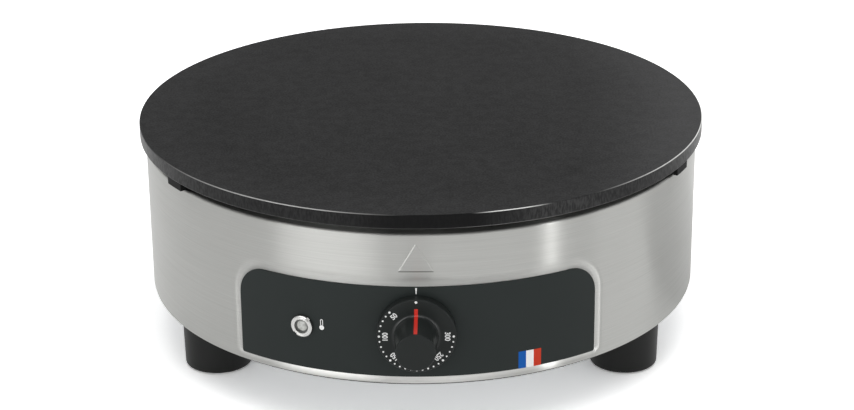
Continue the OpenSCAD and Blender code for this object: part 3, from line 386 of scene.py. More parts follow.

# %% [markdown]
# ## Seasoned cast iron
# The plate is ground flat and then baked with oil. The oil film is nearly black, with a
# dull shine that is uneven where it ran thicker, over the fine grain of the casting. Its
# colour is painted lighter towards the right and towards the rim: painted light. On the
# corner of the rim the scraper keeps the film off, and bare iron shines through: a mask of
# the distance from the axis, broken up by noise, uncovers it there. It is worn most at the
# left and right, where the scraper starts and stops; these bands are also placed where the
# lamps glint on the edge, so they are partly painted highlight. A band at the front is a
# painted glint, and the lower edge is worn a little, with a painted glint at its front.
# Down the side of the rim the oil ran in small streaks, which shine more than the film
# between them; it is baked dull in the middle and still wet to the right of it. The side is
# painted a little lighter left and right of the dull middle: a painted sheen.

# %% Seasoned iron
def seasoned_iron():
    """Oil-baked iron; `bare` uncovers the metal, `side` is the rim and `runs` its streaks."""
    finish = Finish("seasoned_iron")
    grain = finish.noise(700.0, detail=3, roughness=0.6)
    mottle = finish.noise(120.0, detail=5, roughness=0.7)
    film = finish.noise(14.0, detail=3)
    up, to_right, outwards = finish.along("Z"), finish.along("X"), finish.from_axis((0, 0, 1))
    side = outwards.rise(plate_r - 0.6, plate_r - 0.2)
    edge = outwards.rise(plate_r - 0.60, plate_r - 0.45)
    corner = edge * up.rise(plate_top - 0.60, plate_top - 0.45)
    low_edge = edge * (1.0 - up.rise(rim_foot + 0.4, rim_foot + 0.6))
    # Wear on the corner, in bands placed where the lamps glint: partly painted highlight; the
    # front band is a painted glint.
    wear_and_glint_left, wear_and_glint_right = to_right.band(-190, -100, -90, 0), to_right.rise(110, 180)
    wear_and_glint = wear_and_glint_right + wear_and_glint_left * 0.65 + to_right.band(35, 55, 70, 90) * 0.9
    # The lower edge: a little wear all round, and a painted glint at the front.
    low_wear_and_glint = to_right.band(20, 40, 70, 100) * 0.12 + 0.08
    bare = (corner * wear_and_glint + low_edge * low_wear_and_glint) * finish.between(mottle, 0.6, 1.0)
    specks = (mottle * 0.4 + grain * 0.6).step(0.38, 0.62)
    # Painted light: the film lighter towards the right and towards the rim.
    painted_light_right_and_rim = to_right.rise(100, 200) * 0.6 + outwards.rise(150, 200) * 0.1
    dull, wet = to_right.band(-60, -10, 35, 65), to_right.band(55, 85, 95, 140)
    # Real specks, the painted light above, and a painted sheen on the rim's side left and right
    # of its dull middle.
    specks_and_painted_light = (specks * 0.40 + painted_light_right_and_rim) * (1.0 - side) + side * (1.0 - dull) * 0.1
    runs = finish.noise(1.0, finish.place((900, 900, 260)), detail=3).step(0.35, 0.65)
    oiled_with_painted_light = finish.tint(specks_and_painted_light, (0.0035, 0.0035, 0.0037), (0.050, 0.050, 0.051))
    colours = {"Factor": bare, 6: oiled_with_painted_light, 7: (0.97, 0.97, 0.95, 1)}
    return finish.surface(
        Base_Color=finish.node("Mix", {"data_type": "RGBA"}, colours, output=2),
        Metallic=bare,
        Roughness=finish.between(film * 0.6 + mottle * 0.4, 0.50, 0.68) - side * 0.22,
        Normal=finish.bump(grain * 0.6 + mottle * 0.4, 0.12 * MM, 0.8),
        Specular_IOR_Level=0.10,
        Coat_Weight=side * finish.between(runs, 0.12, 0.38) * (1.0 - dull * 0.85 + wet * 1.2),
        Coat_Roughness=0.29,
    )

# %% [markdown]
# ## Plastics, rubber and paint
# Moulded and printed surfaces differ in only three ways: their colour, how sharp and strong
# their shine is, and how fine and deep their grain. One function with those as arguments
# makes them all.

# %% Moulded and painted surfaces
def moulded(name, colour, roughness, shine=0.5, grain_scale=1600.0, grain_depth=0.02 * MM):
    """One colour with a faint cloud in it, over a fine grain."""
    finish = Finish(name)
    grain = finish.noise(grain_scale, detail=3)
    cloud = finish.noise(25.0, detail=2)
    dark = [0.88 * c for c in colour]
    light = [min(1.0, 1.12 * c) for c in colour]
    return finish.surface(
        Base_Color=finish.tint(cloud * 0.6 + grain * 0.4, dark, light),
        Roughness=finish.between(cloud * 0.5 + grain * 0.5, roughness - 0.05, roughness + 0.05),
        Normal=finish.bump(grain, grain_depth, 0.6),
        Specular_IOR_Level=shine,
    )

# %% [markdown]
# ## Plain metals
# The hidden hardware is zinc plate, brass, copper and spring steel. They share one recipe:
# fully metallic, with fine scratches in every direction and soft stains. The base plate is
# galvanised: a Voronoi texture gives each cell one grey, as zinc crystals have.

# %% Plain metals
def metal(name, colour, roughness, scratch_scale=700.0, stain=0.18):
    """Bare or plated metal; stain says how far the colour strays."""
    finish = Finish(name)
    scratches = finish.noise(scratch_scale, finish.place((1, 0.15, 1), (0, 0, 0.5)), detail=4)
    stains = finish.noise(60.0, detail=3)
    dark = [c * (1 - stain) for c in colour]
    light = [min(1.0, c * (1 + 0.5 * stain)) for c in colour]
    return finish.surface(
        Base_Color=finish.tint(stains, dark, light),
        Metallic=1.0,
        Roughness=finish.between(scratches, roughness - 0.08, roughness + 0.08),
        Normal=finish.bump(scratches, 0.02 * MM, 0.4),
    )

# %% Galvanised sheet
def galvanised():
    """Zinc-dipped sheet with its crystals; painted shade darkens the base plate's edge."""
    finish = Finish("galvanised_sheet")
    where = {"Vector": finish.place(), "Scale": 130.0}
    cells = finish.node("TexVoronoi", {}, where, output="Color")
    crystals = finish.node("SeparateXYZ", {}, {0: cells}, output="X")
    # Painted shade: the base plate's edge, in the gap under the drum's foot, is made near black.
    painted_shade_at_edge = finish.from_axis((0, 0, 1)).rise(base_r - 0.8, base_r - 0.2)
    zinc = (crystals * 0.5 + 0.5) * (1.0 - painted_shade_at_edge)
    return finish.surface(
        Base_Color=finish.tint(zinc, (0.02, 0.02, 0.02), (0.56, 0.58, 0.59)),
        Metallic=1.0,
        Roughness=finish.between(crystals, 0.40, 0.55),
        Normal=finish.bump(crystals, 0.02 * MM, 0.4),
    )

# %% [markdown]
# ## Knob
# The knob is a black moulding with a fine grain. Fingers polish the fillet at the foot of its
# grip, mostly on the upper side, where they push. A thin clear coat on that ring alone gives
# it a shine of its own: the mask is the distance from the knob's axis.

# %% Knob plastic
def knob_plastic():
    """Fine-grained black moulding; the fillet below the grip is polished by fingers."""
    finish = Finish("knob_plastic")
    grain = finish.noise(1600.0, detail=3)
    cloud = finish.noise(60.0, detail=3)
    dark, light = (0.015, 0.0175, 0.017), (0.020, 0.023, 0.022)
    low, high = grip_r - 0.4, grip_r + fillet_r + 0.9
    ring = finish.from_axis((0, 1, 0), knob_axis).band(low, low + 0.3, high - 0.8, high)
    upper = finish.along("Z").rise(knob_axis - 0.5, knob_axis + 11.5)
    polished = ring * finish.between(upper, 0.25, 1.0)
    return finish.surface(
        Base_Color=finish.tint(cloud * 0.6 + grain * 0.4, dark, light),
        Roughness=finish.between(cloud, 0.27, 0.36),
        Normal=finish.bump(grain, 0.02 * MM, 0.5),
        Specular_IOR_Level=0.16,
        Coat_Weight=polished,
        Coat_Roughness=0.16,
    )

# %% [markdown]
# ## Pilot lamp
# A frosted lens in a chrome ring. The lens is darker towards its seat, because less light
# gets in there. The ring was turned on a lathe before it was plated, so a sine of the
# distance from its axis gives it fine grooves.

# %% Lens and ring of the pilot lamp
RING_PITCH = 0.8


def lamp_glass():
    """Frosted lens over an unlit lamp: pale, milky, and darker towards its seat."""
    finish = Finish("lamp_lens")
    frost = finish.noise(1500.0, detail=3)
    cloud = finish.noise(300.0, detail=2)
    seat = finish.from_axis(lamp_way, lamp_height).rise(3.3, 4.0)
    return finish.surface(
        Base_Color=finish.tint(cloud * (1.0 - seat), (0.10, 0.105, 0.10), (0.95, 0.96, 0.91)),
        Roughness=finish.between(frost, 0.22, 0.38),
        Normal=finish.bump(frost, 0.03 * MM, 0.5),
        Coat_Weight=0.4,
    )


def lamp_chrome():
    """Plated ring, turned on a lathe before plating: fine rings show through the chrome."""
    finish = Finish("chrome")
    stains = finish.noise(60.0, detail=3)
    outwards = finish.from_axis(lamp_way, lamp_height)
    waves = outwards * (2 * pi / (RING_PITCH * MM))
    rings = finish.node("Math", {"operation": "SINE"}, {0: waves})
    bright = rings * 0.35 + stains * 0.3 + 0.35
    return finish.surface(
        Base_Color=finish.tint(bright, (0.42, 0.42, 0.41), (0.86, 0.86, 0.84)),
        Metallic=1.0,
        Roughness=finish.between(stains, 0.12, 0.22),
        Normal=finish.bump(rings, 0.05 * MM, 0.8),
    )

# %% [markdown]
# ## Wool and braid
# The insulation is mineral wool, and the heaters' leads wear a sleeve of woven glass. Both
# are dull all over. What tells them from paint is their loose strands: a noise that is
# stretched one way draws them, and a deep bump lets them catch the light.

# %% Wool and braid
def fibre(name, colour):
    """Mineral wool or woven glass: dull, with loose strands in every direction."""
    finish = Finish(name)
    strands = finish.noise(420.0, finish.place((1, 0.2, 1)), detail=5, roughness=0.75)
    tufts = finish.noise(90.0, detail=4)
    return finish.surface(
        Base_Color=finish.tint(strands, [0.6 * c for c in colour], colour),
        Roughness=0.95,
        Normal=finish.bump(strands * 0.5 + tufts * 0.5, 0.6 * MM, 0.9),
    )

# %% [markdown]
# ## The list of finishes
# The record names a material slot for every part. Each slot gets one finish here, made once
# and shared by all parts that use it. The tables give what the two recipes need: a colour,
# a roughness and, where it differs, the shine and the grain, or the scratches and stains.
# Ink is a thin dull plastic, so the three inks of the printed marks use the same recipe.

# %% One finish for each material slot
MOULDED = {
    "black_panel": ((0.0225, 0.0275, 0.0265), 0.42, 0.14, 2400.0),
    "black_plastic": ((0.008, 0.0085, 0.008), 0.46, 0.25),
    "heatproof_pad": ((0.008, 0.008, 0.008), 0.60, 0.15),
    "red_plastic": ((0.66, 0.035, 0.022), 0.35),
    "black_rubber": ((0.018, 0.018, 0.018), 0.80, 0.3, 500.0, 0.1 * MM),
    "gland_plastic": ((0.02, 0.02, 0.02), 0.45),
    "lamp_plastic": ((0.72, 0.71, 0.66), 0.35),
    "ceramic": ((0.78, 0.76, 0.70), 0.55, 0.5, 800.0, 0.05 * MM),
    "wire_brown": ((0.14, 0.05, 0.02), 0.5),
    "wire_black": ((0.015, 0.015, 0.015), 0.5),
    "wire_blue": ((0.02, 0.08, 0.35), 0.5),
    "wire_green_yellow": ((0.24, 0.42, 0.03), 0.5),
    "wire_grey": ((0.12, 0.12, 0.13), 0.5),
}
METALS = {
    "zinc_steel": ((0.86, 0.87, 0.88), 0.30),
    "spring_steel": ((0.52, 0.53, 0.56), 0.28),
    "brass": ((0.72, 0.52, 0.20), 0.30),
    "copper": ((0.80, 0.40, 0.25), 0.35),
    "element_sheath": ((0.22, 0.19, 0.17), 0.55, 500.0, 0.35),
}
FINISHES = {
    "brushed_steel": brushed_steel(),
    "seasoned_iron": seasoned_iron(),
    "galvanised_sheet": galvanised(),
    "knob_plastic": knob_plastic(),
    "lamp_lens": lamp_glass(),
    "chrome": lamp_chrome(),
    "wire_glass_braid": fibre("wire_glass_braid", (0.75, 0.73, 0.66)),
    "insulation": fibre("insulation", (0.72, 0.63, 0.40)),
}
FINISHES.update({name: moulded(name, *given) for name, given in MOULDED.items()})
FINISHES.update({name: metal(name, *given) for name, given in METALS.items()})
print(len(FINISHES), "finishes for the record's slots")

# %% Printing inks
INKS = {
    "print_white": ((0.90, 0.91, 0.89), 0.55),
    "print_blue": ((0.006, 0.105, 0.42), 0.5, 0.15),
    "print_red": ((0.58, 0.045, 0.018), 0.5, 0.15),
}
FINISHES.update({name: moulded(name, *given) for name, given in INKS.items()})
print(len(INKS), "inks for the panel and the dial")

# %% [markdown]
# ## Finishes on the CAD parts
# Each CAD part comes with slots that are named in the record. A loop puts the finish of the
# same name in each, so every screw, wire and bracket inside is finished too.

# %% Dress the CAD parts
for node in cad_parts.values():
    for slot in node.material_slots:
        slot.material = FINISHES[slot.material.name.split(".")[0]]
print("dressed", len(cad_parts), "CAD parts")

# %% [markdown]
# ## Helpers for modelling
# A piece starts as a bmesh in millimetres, is shaped by operators, and is then scaled to
# metres in an object that rides on a body of the frame. A piece that stands for CAD parts
# hides them. The weighted normals keep flat faces looking flat right up to their rounded
# edges.

# %% From a bmesh to a piece
CRISP = radians(32)


def make_piece(name, bm, body, slot, stands_for=(), shade=True):
    """Turns a bmesh into an object that rides on a body and may stand for CAD parts."""
    bmesh.ops.scale(bm, vec=(MM, MM, MM), verts=bm.verts)
    piece = add_object(name, bm, FINISHES[slot])
    piece.data.shade_smooth()
    piece.data.set_sharp_from_angle(angle=CRISP)
    if shade:
        weighted = piece.modifiers.new("even_shading", "WEIGHTED_NORMAL")
        weighted.keep_sharp = True
    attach(piece, body)
    if stands_for:
        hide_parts(*stands_for)
    print(name, len(piece.data.polygons), "faces")
    return piece

# %% Rounded edges and arcs
def soften(bm, edges, width, segments=3):
    """Rounds these edges off."""
    bmesh.ops.bevel(
        bm, geom=edges, offset=width, offset_type="OFFSET", segments=segments, profile=0.5,
        affect="EDGES", material=-1, clamp_overlap=True,
    )


def corner_edges(bm, above):
    """Edges whose two faces meet at more than an angle."""
    return [e for e in bm.edges if len(e.link_faces) == 2 and e.calc_face_angle() > above]


def arc(centre, radius, start, end, steps=8):
    """Points along an arc, for outlines and profiles; angles in degrees."""
    turns = [radians(start + (end - start) * i / steps) for i in range(steps + 1)]
    return [(centre[0] + radius * cos(t), centre[1] + radius * sin(t)) for t in turns]

# %% Lathe, turning and joining
WELD = 1e-4


def lathe(profile, steps=128):
    """Spins a profile of (radius, height) points round the upright axis."""
    bm = bmesh.new()
    points = [bm.verts.new((r, 0, z)) for r, z in profile]
    lines = [bm.edges.new(ends) for ends in zip(points, points[1:])]
    bmesh.ops.spin(
        bm, geom=points + lines, axis=(0, 0, 1), cent=(0, 0, 0), angle=2 * pi, steps=steps,
        use_merge=True,
    )
    bmesh.ops.remove_doubles(bm, verts=bm.verts, dist=WELD)
    bmesh.ops.recalc_face_normals(bm, faces=bm.faces)
    return bm


def spin_to(bm, turn):
    """Turns a shape round the upright axis, against the clock, by degrees."""
    spin = Matrix.Rotation(radians(turn), 3, "Z")
    bmesh.ops.rotate(bm, verts=bm.verts, cent=(0, 0, 0), matrix=spin)


def gather(shapes):
    """Joins bmeshes into one."""
    whole = bmesh.new()
    for bm in shapes:
        part = bpy.data.meshes.new("part")
        bm.to_mesh(part)
        bm.free()
        whole.from_mesh(part)
        bpy.data.meshes.remove(part)
    return whole

# %% [markdown]
# ## Sheet metal: draw it flat, then roll it
# The drum starts as a flat sheet with a pressed recess, is rolled round, and has its edges
# folded in. The model follows the same order, because everything is simple on the flat
# sheet: u runs along it, v across it, and w is the height above it. Rolling turns u into an
# angle and v into a place on the folded profile. The sheet's shading is worked out while it
# is flat, kept with the points, and turned along with them, so the rolled steel reflects
# without a ripple although it is made of narrow flat strips.

# %% Flat sheet and straight cuts
def flat_piece(*outlines):
    """Flat faces from outlines of (u, v) points."""
    bm = bmesh.new()
    for outline in outlines:
        bm.faces.new([bm.verts.new((u, v, 0)) for u, v in outline])
    bmesh.ops.remove_doubles(bm, verts=bm.verts, dist=WELD)
    bmesh.ops.recalc_face_normals(bm, faces=bm.faces)
    if sum(f.normal.z for f in bm.faces) < 0:
        bmesh.ops.reverse_faces(bm, faces=bm.faces)
    return bm


def cut(bm, geom, along, place):
    """Cuts these faces with a line across the sheet, at u or v = place."""
    normal = (1, 0, 0) if along == "u" else (0, 1, 0)
    origin = tuple(place * n for n in normal)
    bmesh.ops.bisect_plane(bm, geom=geom, dist=1e-5, plane_co=origin, plane_no=normal)


def cut_all(bm, along, place):
    """The same cut through the whole sheet."""
    cut(bm, bm.verts[:] + bm.edges[:] + bm.faces[:], along, place)

# %% Cells and round holes
HOLE_CUTS = 7


def cut_cell(bm, centre, half_u, half_v):
    """Cuts a small rectangle free inside the face that holds a point, and returns it."""
    point = Vector((*centre, 0))

    def holder():
        level = [f for f in bm.faces if abs(f.normal.z) > 0.99]
        return next(f for f in level if bmesh.geometry.intersect_face_point(f, point))

    for along, middle, half in (("u", centre[0], half_u), ("v", centre[1], half_v)):
        for place in (middle - half, middle + half):
            face = holder()
            cut(bm, [face, *face.edges, *face.verts], along, place)
    return holder()


def cut_hole(bm, centre, radius):
    """Cuts a round hole: a square cell whose edge points are pushed onto a circle."""
    face = cut_cell(bm, centre, radius, radius)
    bmesh.ops.bisect_edges(bm, edges=list(face.edges), cuts=HOLE_CUTS)
    for vert in face.verts:
        way = Vector((vert.co.x - centre[0], vert.co.y - centre[1], 0)).normalized()
        vert.co = Vector((*centre, vert.co.z)) + way * radius
    bmesh.ops.delete(bm, geom=[face], context="FACES_ONLY")

# %% Shading that is kept from the flat sheet
def note_shading(bm):
    """Keeps each point's flat-sheet normal, in which large faces outweigh narrow ones."""
    lean = bm.verts.layers.float_vector.new("lean")
    bm.normal_update()
    for vert in bm.verts:
        faces = [f for f in vert.link_faces if f.normal.z > 0.3]
        total = sum((f.normal * f.calc_area() ** 2 for f in faces), Vector())
        vert[lean] = total.normalized() if faces else Vector((0, 0, 1))


def use_kept_shading(piece):
    """Gives the outer faces the shading that was noted on the flat sheet."""
    mesh = piece.data
    kept = [Vector(item.vector) for item in mesh.attributes["lean"].data]
    normals = []
    for face in mesh.polygons:
        for index in face.vertices:
            outer = kept[index].dot(face.normal) > 0.7
            normals.append(kept[index].normalized() if outer else Vector((0, 0, 0)))
    mesh.normals_split_custom_set(normals)
    mesh.attributes.remove(mesh.attributes["lean"])

# %% Rolling the sheet
STRIP = 2.0


def cut_strips(bm):
    """Cuts the sheet into upright strips, so that it can bend."""
    low = min(v.co.x for v in bm.verts) / drum_r
    high = max(v.co.x for v in bm.verts) / drum_r
    step = radians(STRIP)
    for i in range(int(low // step) + 1, int(high // step) + 1):
        cut_all(bm, "u", i * step * drum_r)


def straight_up(radius):
    """Profile of a plain cylinder: radius, height and outward normal at each v."""
    return lambda v: (radius, v, 1.0, 0.0)


def roll(bm, profile):
    """Rolls the sheet round the upright axis and turns the kept shading with it."""
    lean = bm.verts.layers.float_vector["lean"]
    for vert in bm.verts:
        u, v, w = vert.co
        turn = u / drum_r
        radius, height, out, up = profile(v)
        around = Vector((cos(turn), sin(turn), 0))
        outward = Vector((sin(turn), -cos(turn), 0))
        normal = outward * out + Vector((0, 0, up))
        across = outward * -up + Vector((0, 0, out))
        vert.co = outward * radius + Vector((0, 0, height)) + normal * w
        vert[lean] = around * vert[lean].x + across * vert[lean].y + normal * vert[lean].z
    bmesh.ops.remove_doubles(bm, verts=bm.verts, dist=WELD)

# %% [markdown]
# ## Drum
# Above the panel the steel carries a small pressed triangle. The panel lies in a recess
# with sloping walls and soft shoulders, which catch the light as two thin lines round the
# panel. The recess is an inset of the flat sheet that is pushed down, and a bevel of its two
# loops makes the shoulders. First come the sizes of the flat sheet: each fold takes up a
# quarter of a circle, and the flanges that are folded in lie beyond the folds. The sheet
# begins as three faces: the recess and the wall round it, which is split in two, because a
# face can't have a hole.

# %% Sizes of the flat sheet
bend_r, foot_flange, top_flange = 1.8, 12.2, 9.2
fold = bend_r * pi / 2
wall_low, wall_high = drum_foot + bend_r, drum_top - bend_r
sheet_low = wall_low - fold - foot_flange
sheet_high = wall_high + fold + top_flange
seam = radians(150) * drum_r
print(f"flat sheet {2 * pi * drum_r:.1f} mm long, {sheet_high - sheet_low:.1f} mm high")


def drum_profile(v):
    """Radius, height and outward normal of the folded sheet at each v."""
    side = -1 if v < wall_low else 1
    past = max(wall_low - v, v - wall_high, 0)
    turn = min(past / bend_r, pi / 2)
    edge = wall_low if side < 0 else wall_high
    level = edge if past > 0 else v
    radius = drum_r - bend_r + bend_r * cos(turn) - max(past - fold, 0)
    return radius, level + side * bend_r * sin(turn), cos(turn), side * sin(turn)

# %% Outlines of the recess and the walls beside it
panel_w, panel_corner, border = 253.0, 20.5, 5.5
SPLIT = 60.0


def side_outline(half, foot, top, foot_corner, corner, foot_steps):
    """Right half of a panel or recess outline, from its foot up to its top."""
    low = arc((half - foot_corner, foot + foot_corner), foot_corner, -90, 0, foot_steps)
    return low + arc((half - corner, top - corner), corner, 0, 90, 16)


def mirrored(right):
    """The left half of an outline, from its top down to its foot."""
    return [(-u, v) for u, v in reversed(right)]


def drum_sheet():
    """The flat sheet as three faces: the recess, and the wall left and right of SPLIT."""
    half = panel_w / 2 + border
    right = side_outline(half, recess_foot, recess_top, 8, panel_corner + border, 8)
    left = mirrored(right)
    foot_point, top_point = (SPLIT, recess_foot), (SPLIT, recess_top)
    seam_left = seam - 2 * pi * drum_r
    recess = [foot_point, *right, top_point, *left]
    right_wall = [(SPLIT, sheet_low), (seam, sheet_low), (seam, sheet_high), (SPLIT, sheet_high)]
    right_wall += [top_point, *reversed(right), foot_point]
    left_wall = [(SPLIT, sheet_high), (seam_left, sheet_high), (seam_left, sheet_low)]
    left_wall += [(SPLIT, sheet_low), foot_point, *reversed(left), top_point]
    return flat_piece(recess, right_wall, left_wall)

# %% [markdown]
# ## Triangle
# A small triangle is pressed a little out of the sheet. A cell is cut free at its place, its
# two top corners are merged into one point, and an inset raises what is left. The drum's
# cell then presses the recess, adds the triangle and the holes, and rolls the sheet.

# %% Triangle
def press_triangle(bm):
    """Presses the small triangle out of the bare steel above the panel."""
    width, height, foot = triangle_w, triangle_h, triangle_foot
    proud, slope, soft_edge = 0.28, 0.55, 0.12
    face = cut_cell(bm, (0, foot + height / 2), width / 2, height / 2)
    top = [v for v in face.verts if v.co.y > foot + height / 2]
    bmesh.ops.pointmerge(bm, verts=top, merge_co=(0, foot + height, 0))
    bmesh.ops.inset_individual(
        bm, faces=[face], thickness=slope, depth=proud, use_even_offset=True
    )
    slopes = {f for e in face.edges for f in e.link_faces if f is not face}
    ring = [e for f in slopes for e in f.edges if e.calc_face_angle() > radians(10)]
    crease = [e for e in set(ring) if any(f not in slopes for f in e.link_faces)]
    soften(bm, crease, soft_edge, 3)
    # Level cuts through the slopes let them follow the drum's curve without a twist.
    for share in (0.05, 0.12, 0.4, 0.7, 0.85, 0.92):
        above = [f for f in bm.faces if f.calc_center_median().y > foot - 1]
        slanted = [f for f in above if f.normal.z < 0.9999]
        around = {part for f in slanted for part in (f, *f.edges, *f.verts)}
        cut(bm, list(around), "v", foot + share * height)

# %% Drum
recess_depth, slope_w = 1.2, 4.8
outer_shoulder, inner_shoulder, shoulder_steps = 1.5, 0.9, 4
FOLD_STEPS = 5
gland_low, gland_high = box_mm("gland_body")
gland_height = (gland_low.z + gland_high.z) / 2


def make_drum():
    """Presses, cuts and rolls the sheet, then gives it its thickness."""
    knob_hole, lamp_hole, gland_hole = 7, 6.3, 10.1
    bm = drum_sheet()
    bm.faces.ensure_lookup_table()
    recess, *walls = sorted(bm.faces, key=lambda f: f.calc_area())
    bmesh.ops.inset_region(
        bm, faces=[recess], thickness=slope_w, depth=-recess_depth, use_boundary=False,
        use_even_offset=True,
    )
    bent = radians(6)
    outer = [e for e in corner_edges(bm, bent) if any(f in walls for f in e.link_faces)]
    soften(bm, outer, outer_shoulder, shoulder_steps)
    inner = [e for e in corner_edges(bm, bent) if recess in e.link_faces]
    soften(bm, inner, inner_shoulder, shoulder_steps)
    press_triangle(bm)
    cut_hole(bm, (0, knob_axis), knob_hole)
    cut_hole(bm, (lamp_turn * drum_r, lamp_height), lamp_hole)
    cut_hole(bm, (-pi * drum_r, gland_height), gland_hole)
    note_shading(bm)
    cut_strips(bm)
    turns = [radians(90) * i / FOLD_STEPS for i in range(FOLD_STEPS + 1)]
    for place in [wall_low - t * bend_r for t in turns] + [wall_high + t * bend_r for t in turns]:
        cut_all(bm, "v", place)
    roll(bm, drum_profile)
    bmesh.ops.solidify(bm, geom=bm.faces[:], thickness=sheet_t)
    return bm


drum = make_piece("drum", make_drum(), "housing", "brushed_steel", ["drum_shell"], shade=False)
use_kept_shading(drum)

# %% [markdown]
# ## Cooking plate
# A disc turned on a lathe, with its edges rounded, and bosses below it for the tie rod and
# the studs. The rim's roundness matters most: it draws the bright line round the plate.

# %% Cooking plate
rod_bore_r, rod_boss_r, rod_boss_h = 5.05, 14.0, 7.5
stud_r, stud_bore_r, stud_boss_r, stud_boss_h = 3.0, 3.05, 7.0, 5.0
stud_ring = box_mm("clamp_studs")[1].x - stud_r


def stud_boss(turn):
    """A boss with a threaded hole; it starts inside the plate, like a casting's."""
    foot, inside, edge = rim_foot - stud_boss_h, rim_foot + 2.0, 0.4
    profile = [(stud_bore_r, foot), (stud_boss_r - edge, foot), (stud_boss_r, foot + edge)]
    profile += [(stud_boss_r, inside), (stud_bore_r, inside), (stud_bore_r, foot)]
    bm = lathe(profile, 32)
    bmesh.ops.translate(bm, vec=(stud_ring, 0, 0), verts=bm.verts)
    spin_to(bm, turn)
    return bm


def make_plate():
    """The disc from the middle of its underside, round the rim, to the middle of its top."""
    edge, low_edge, bore_top = 0.7, 0.5, rim_foot - 1.5
    boss_foot = rim_foot - rod_boss_h
    profile = [(0, bore_top), (rod_bore_r, bore_top), (rod_bore_r, boss_foot)]
    profile += arc((rod_boss_r - low_edge, boss_foot + low_edge), low_edge, -90, 0, 3)
    profile += [(rod_boss_r, rim_foot)]
    profile += arc((plate_r - low_edge, rim_foot + low_edge), low_edge, -90, 0, 4)
    profile += arc((plate_r - edge, plate_top - edge), edge, 0, 90, 6)
    profile += [(plate_r - 3, plate_top), (0, plate_top)]
    return gather([lathe(profile, 360)] + [stud_boss(turn) for turn in (0, 120, 240)])


make_piece("plate", make_plate(), "housing", "seasoned_iron", ["cooking_plate"])

# %% [markdown]
# ## Control panel
# A thin curved plate, glued into the recess. It is cut from flat sheet with the same rolling
# as the drum, so both have the same curve. A flat face becomes a slab by an extrude, and the
# slab's front edges are rounded while it is still flat.

# %% Slabs that are rolled to the drum's curve
def slab(bm, thickness, edge):
    """Gives a flat piece its thickness, downwards, and rounds its front edges."""
    made = bmesh.ops.extrude_face_region(bm, geom=bm.faces[:], use_keep_orig=True)["geom"]
    below = set(bm.verts) - {v for v in made if isinstance(v, bmesh.types.BMVert)}
    bmesh.ops.translate(bm, vec=(0, 0, -thickness), verts=list(below))
    bmesh.ops.recalc_face_normals(bm, faces=bm.faces)
    if edge:
        front = [f for f in bm.faces if f.normal.z > 0.99]
        soften(bm, [e for f in front for e in f.edges if e.calc_face_angle() > 1], edge, 2)
    return bm


def rolled(bm, radius):
    """Rolls a finished flat piece to the panel's curve."""
    note_shading(bm)
    cut_strips(bm)
    roll(bm, straight_up(radius))
    return bm

# %% Control panel
def make_panel():
    """Cuts the panel with its holes for the spindle and the lamp."""
    spindle_hole, lamp_hole, panel_t, soft_edge = 6, 6.2, 1.0, 0.25
    right = side_outline(panel_w / 2, panel_foot, panel_top, 1.5, panel_corner, 4)
    bm = flat_piece(right + mirrored(right))
    cut_hole(bm, (0, knob_axis), spindle_hole)
    cut_hole(bm, (lamp_turn * drum_r, lamp_height), lamp_hole)
    return rolled(slab(bm, panel_t, soft_edge), panel_r)


panel = make_piece(
    "panel", make_panel(), "housing", "black_panel", ["control_fascia"], shade=False
)
use_kept_shading(panel)

# %% [markdown]
# ## Printed marks on the panel
# The white mark over the dial, the thermometer by the lamp and the three stripes are screen
# printed. Each is a very thin raised slab on the panel, rolled to the same curve, which
# stays sharp from near and far.

# %% Printed marks
INK = 0.05


def printed(name, outlines, ink):
    """Prints outlines on the panel: half of the slab's thickness stands out of it."""
    bm = slab(flat_piece(*outlines), 2 * INK, 0)
    piece = make_piece(name, rolled(bm, panel_r + INK), "housing", ink, shade=False)
    use_kept_shading(piece)


tick_foot, tick_top, foot_half, top_half = 103.1, 107.5, 0.3, 0.6
right = [(foot_half, tick_foot), (top_half, tick_top)]
printed("panel_tick", [right + mirrored(right)], "print_white")

# %% Thermometer by the lamp
sign_at = radians(-18.55) * drum_r
bulb_foot, bulb_r, stem_foot, stem_top = 72.9, 1.7, 76.3, 80.6
outside, inside = 0.95, 0.5


def stem_outline(half):
    """The stem at half its width: up the right side, round the top and down the left."""
    top = arc((sign_at, stem_top - outside), half, 0, 180, 8)
    return [(sign_at + half, stem_foot), *top, (sign_at - half, stem_foot)]


bulb = arc((sign_at, bulb_foot + bulb_r), bulb_r, 0, 337.5, 15)
stem = stem_outline(outside) + list(reversed(stem_outline(inside)))
printed("panel_thermometer", [bulb, stem], "print_white")

# %% Stripes
stripes_at, stripe_w, stripe_foot, stripe_top = radians(22.25) * drum_r, 5.4, panel_foot + 0.1, 56

for i, colour in enumerate(("blue", "white", "red")):
    left = stripes_at + (i - 1.5) * stripe_w
    foot = [(left, stripe_foot), (left + stripe_w, stripe_foot)]
    top = [(left + stripe_w, stripe_top), (left, stripe_top)]
    printed(f"panel_stripe_{colour}", [foot + top], f"print_{colour}")

# %% [markdown]
# ## Knob
# Skirt and grip are one moulding. It is turned on a lathe: hollow below, with a boss for the
# spindle, a rounded skirt, a small fillet where the grip rises, and a soft edge at its end.
# The fillet is what catches the lamp as a bright ring.

# %% Outline of the grip
FILLET_STEPS = 6
skirt_r, skirt_t, end_edge = 26.0, 6.4, 0.9
knob_l = knob_end - knob_back
draft = atan((grip_r - end_r) / (knob_l - skirt_t))
print(f"knob {knob_l:.1f} mm long, its grip tapers by {degrees(draft):.1f} degrees a side")


def grip_at(height):
    """Radius of the tapering grip at a height above the knob's back."""
    return grip_r - (grip_r - end_r) * (height - skirt_t) / (knob_l - skirt_t)


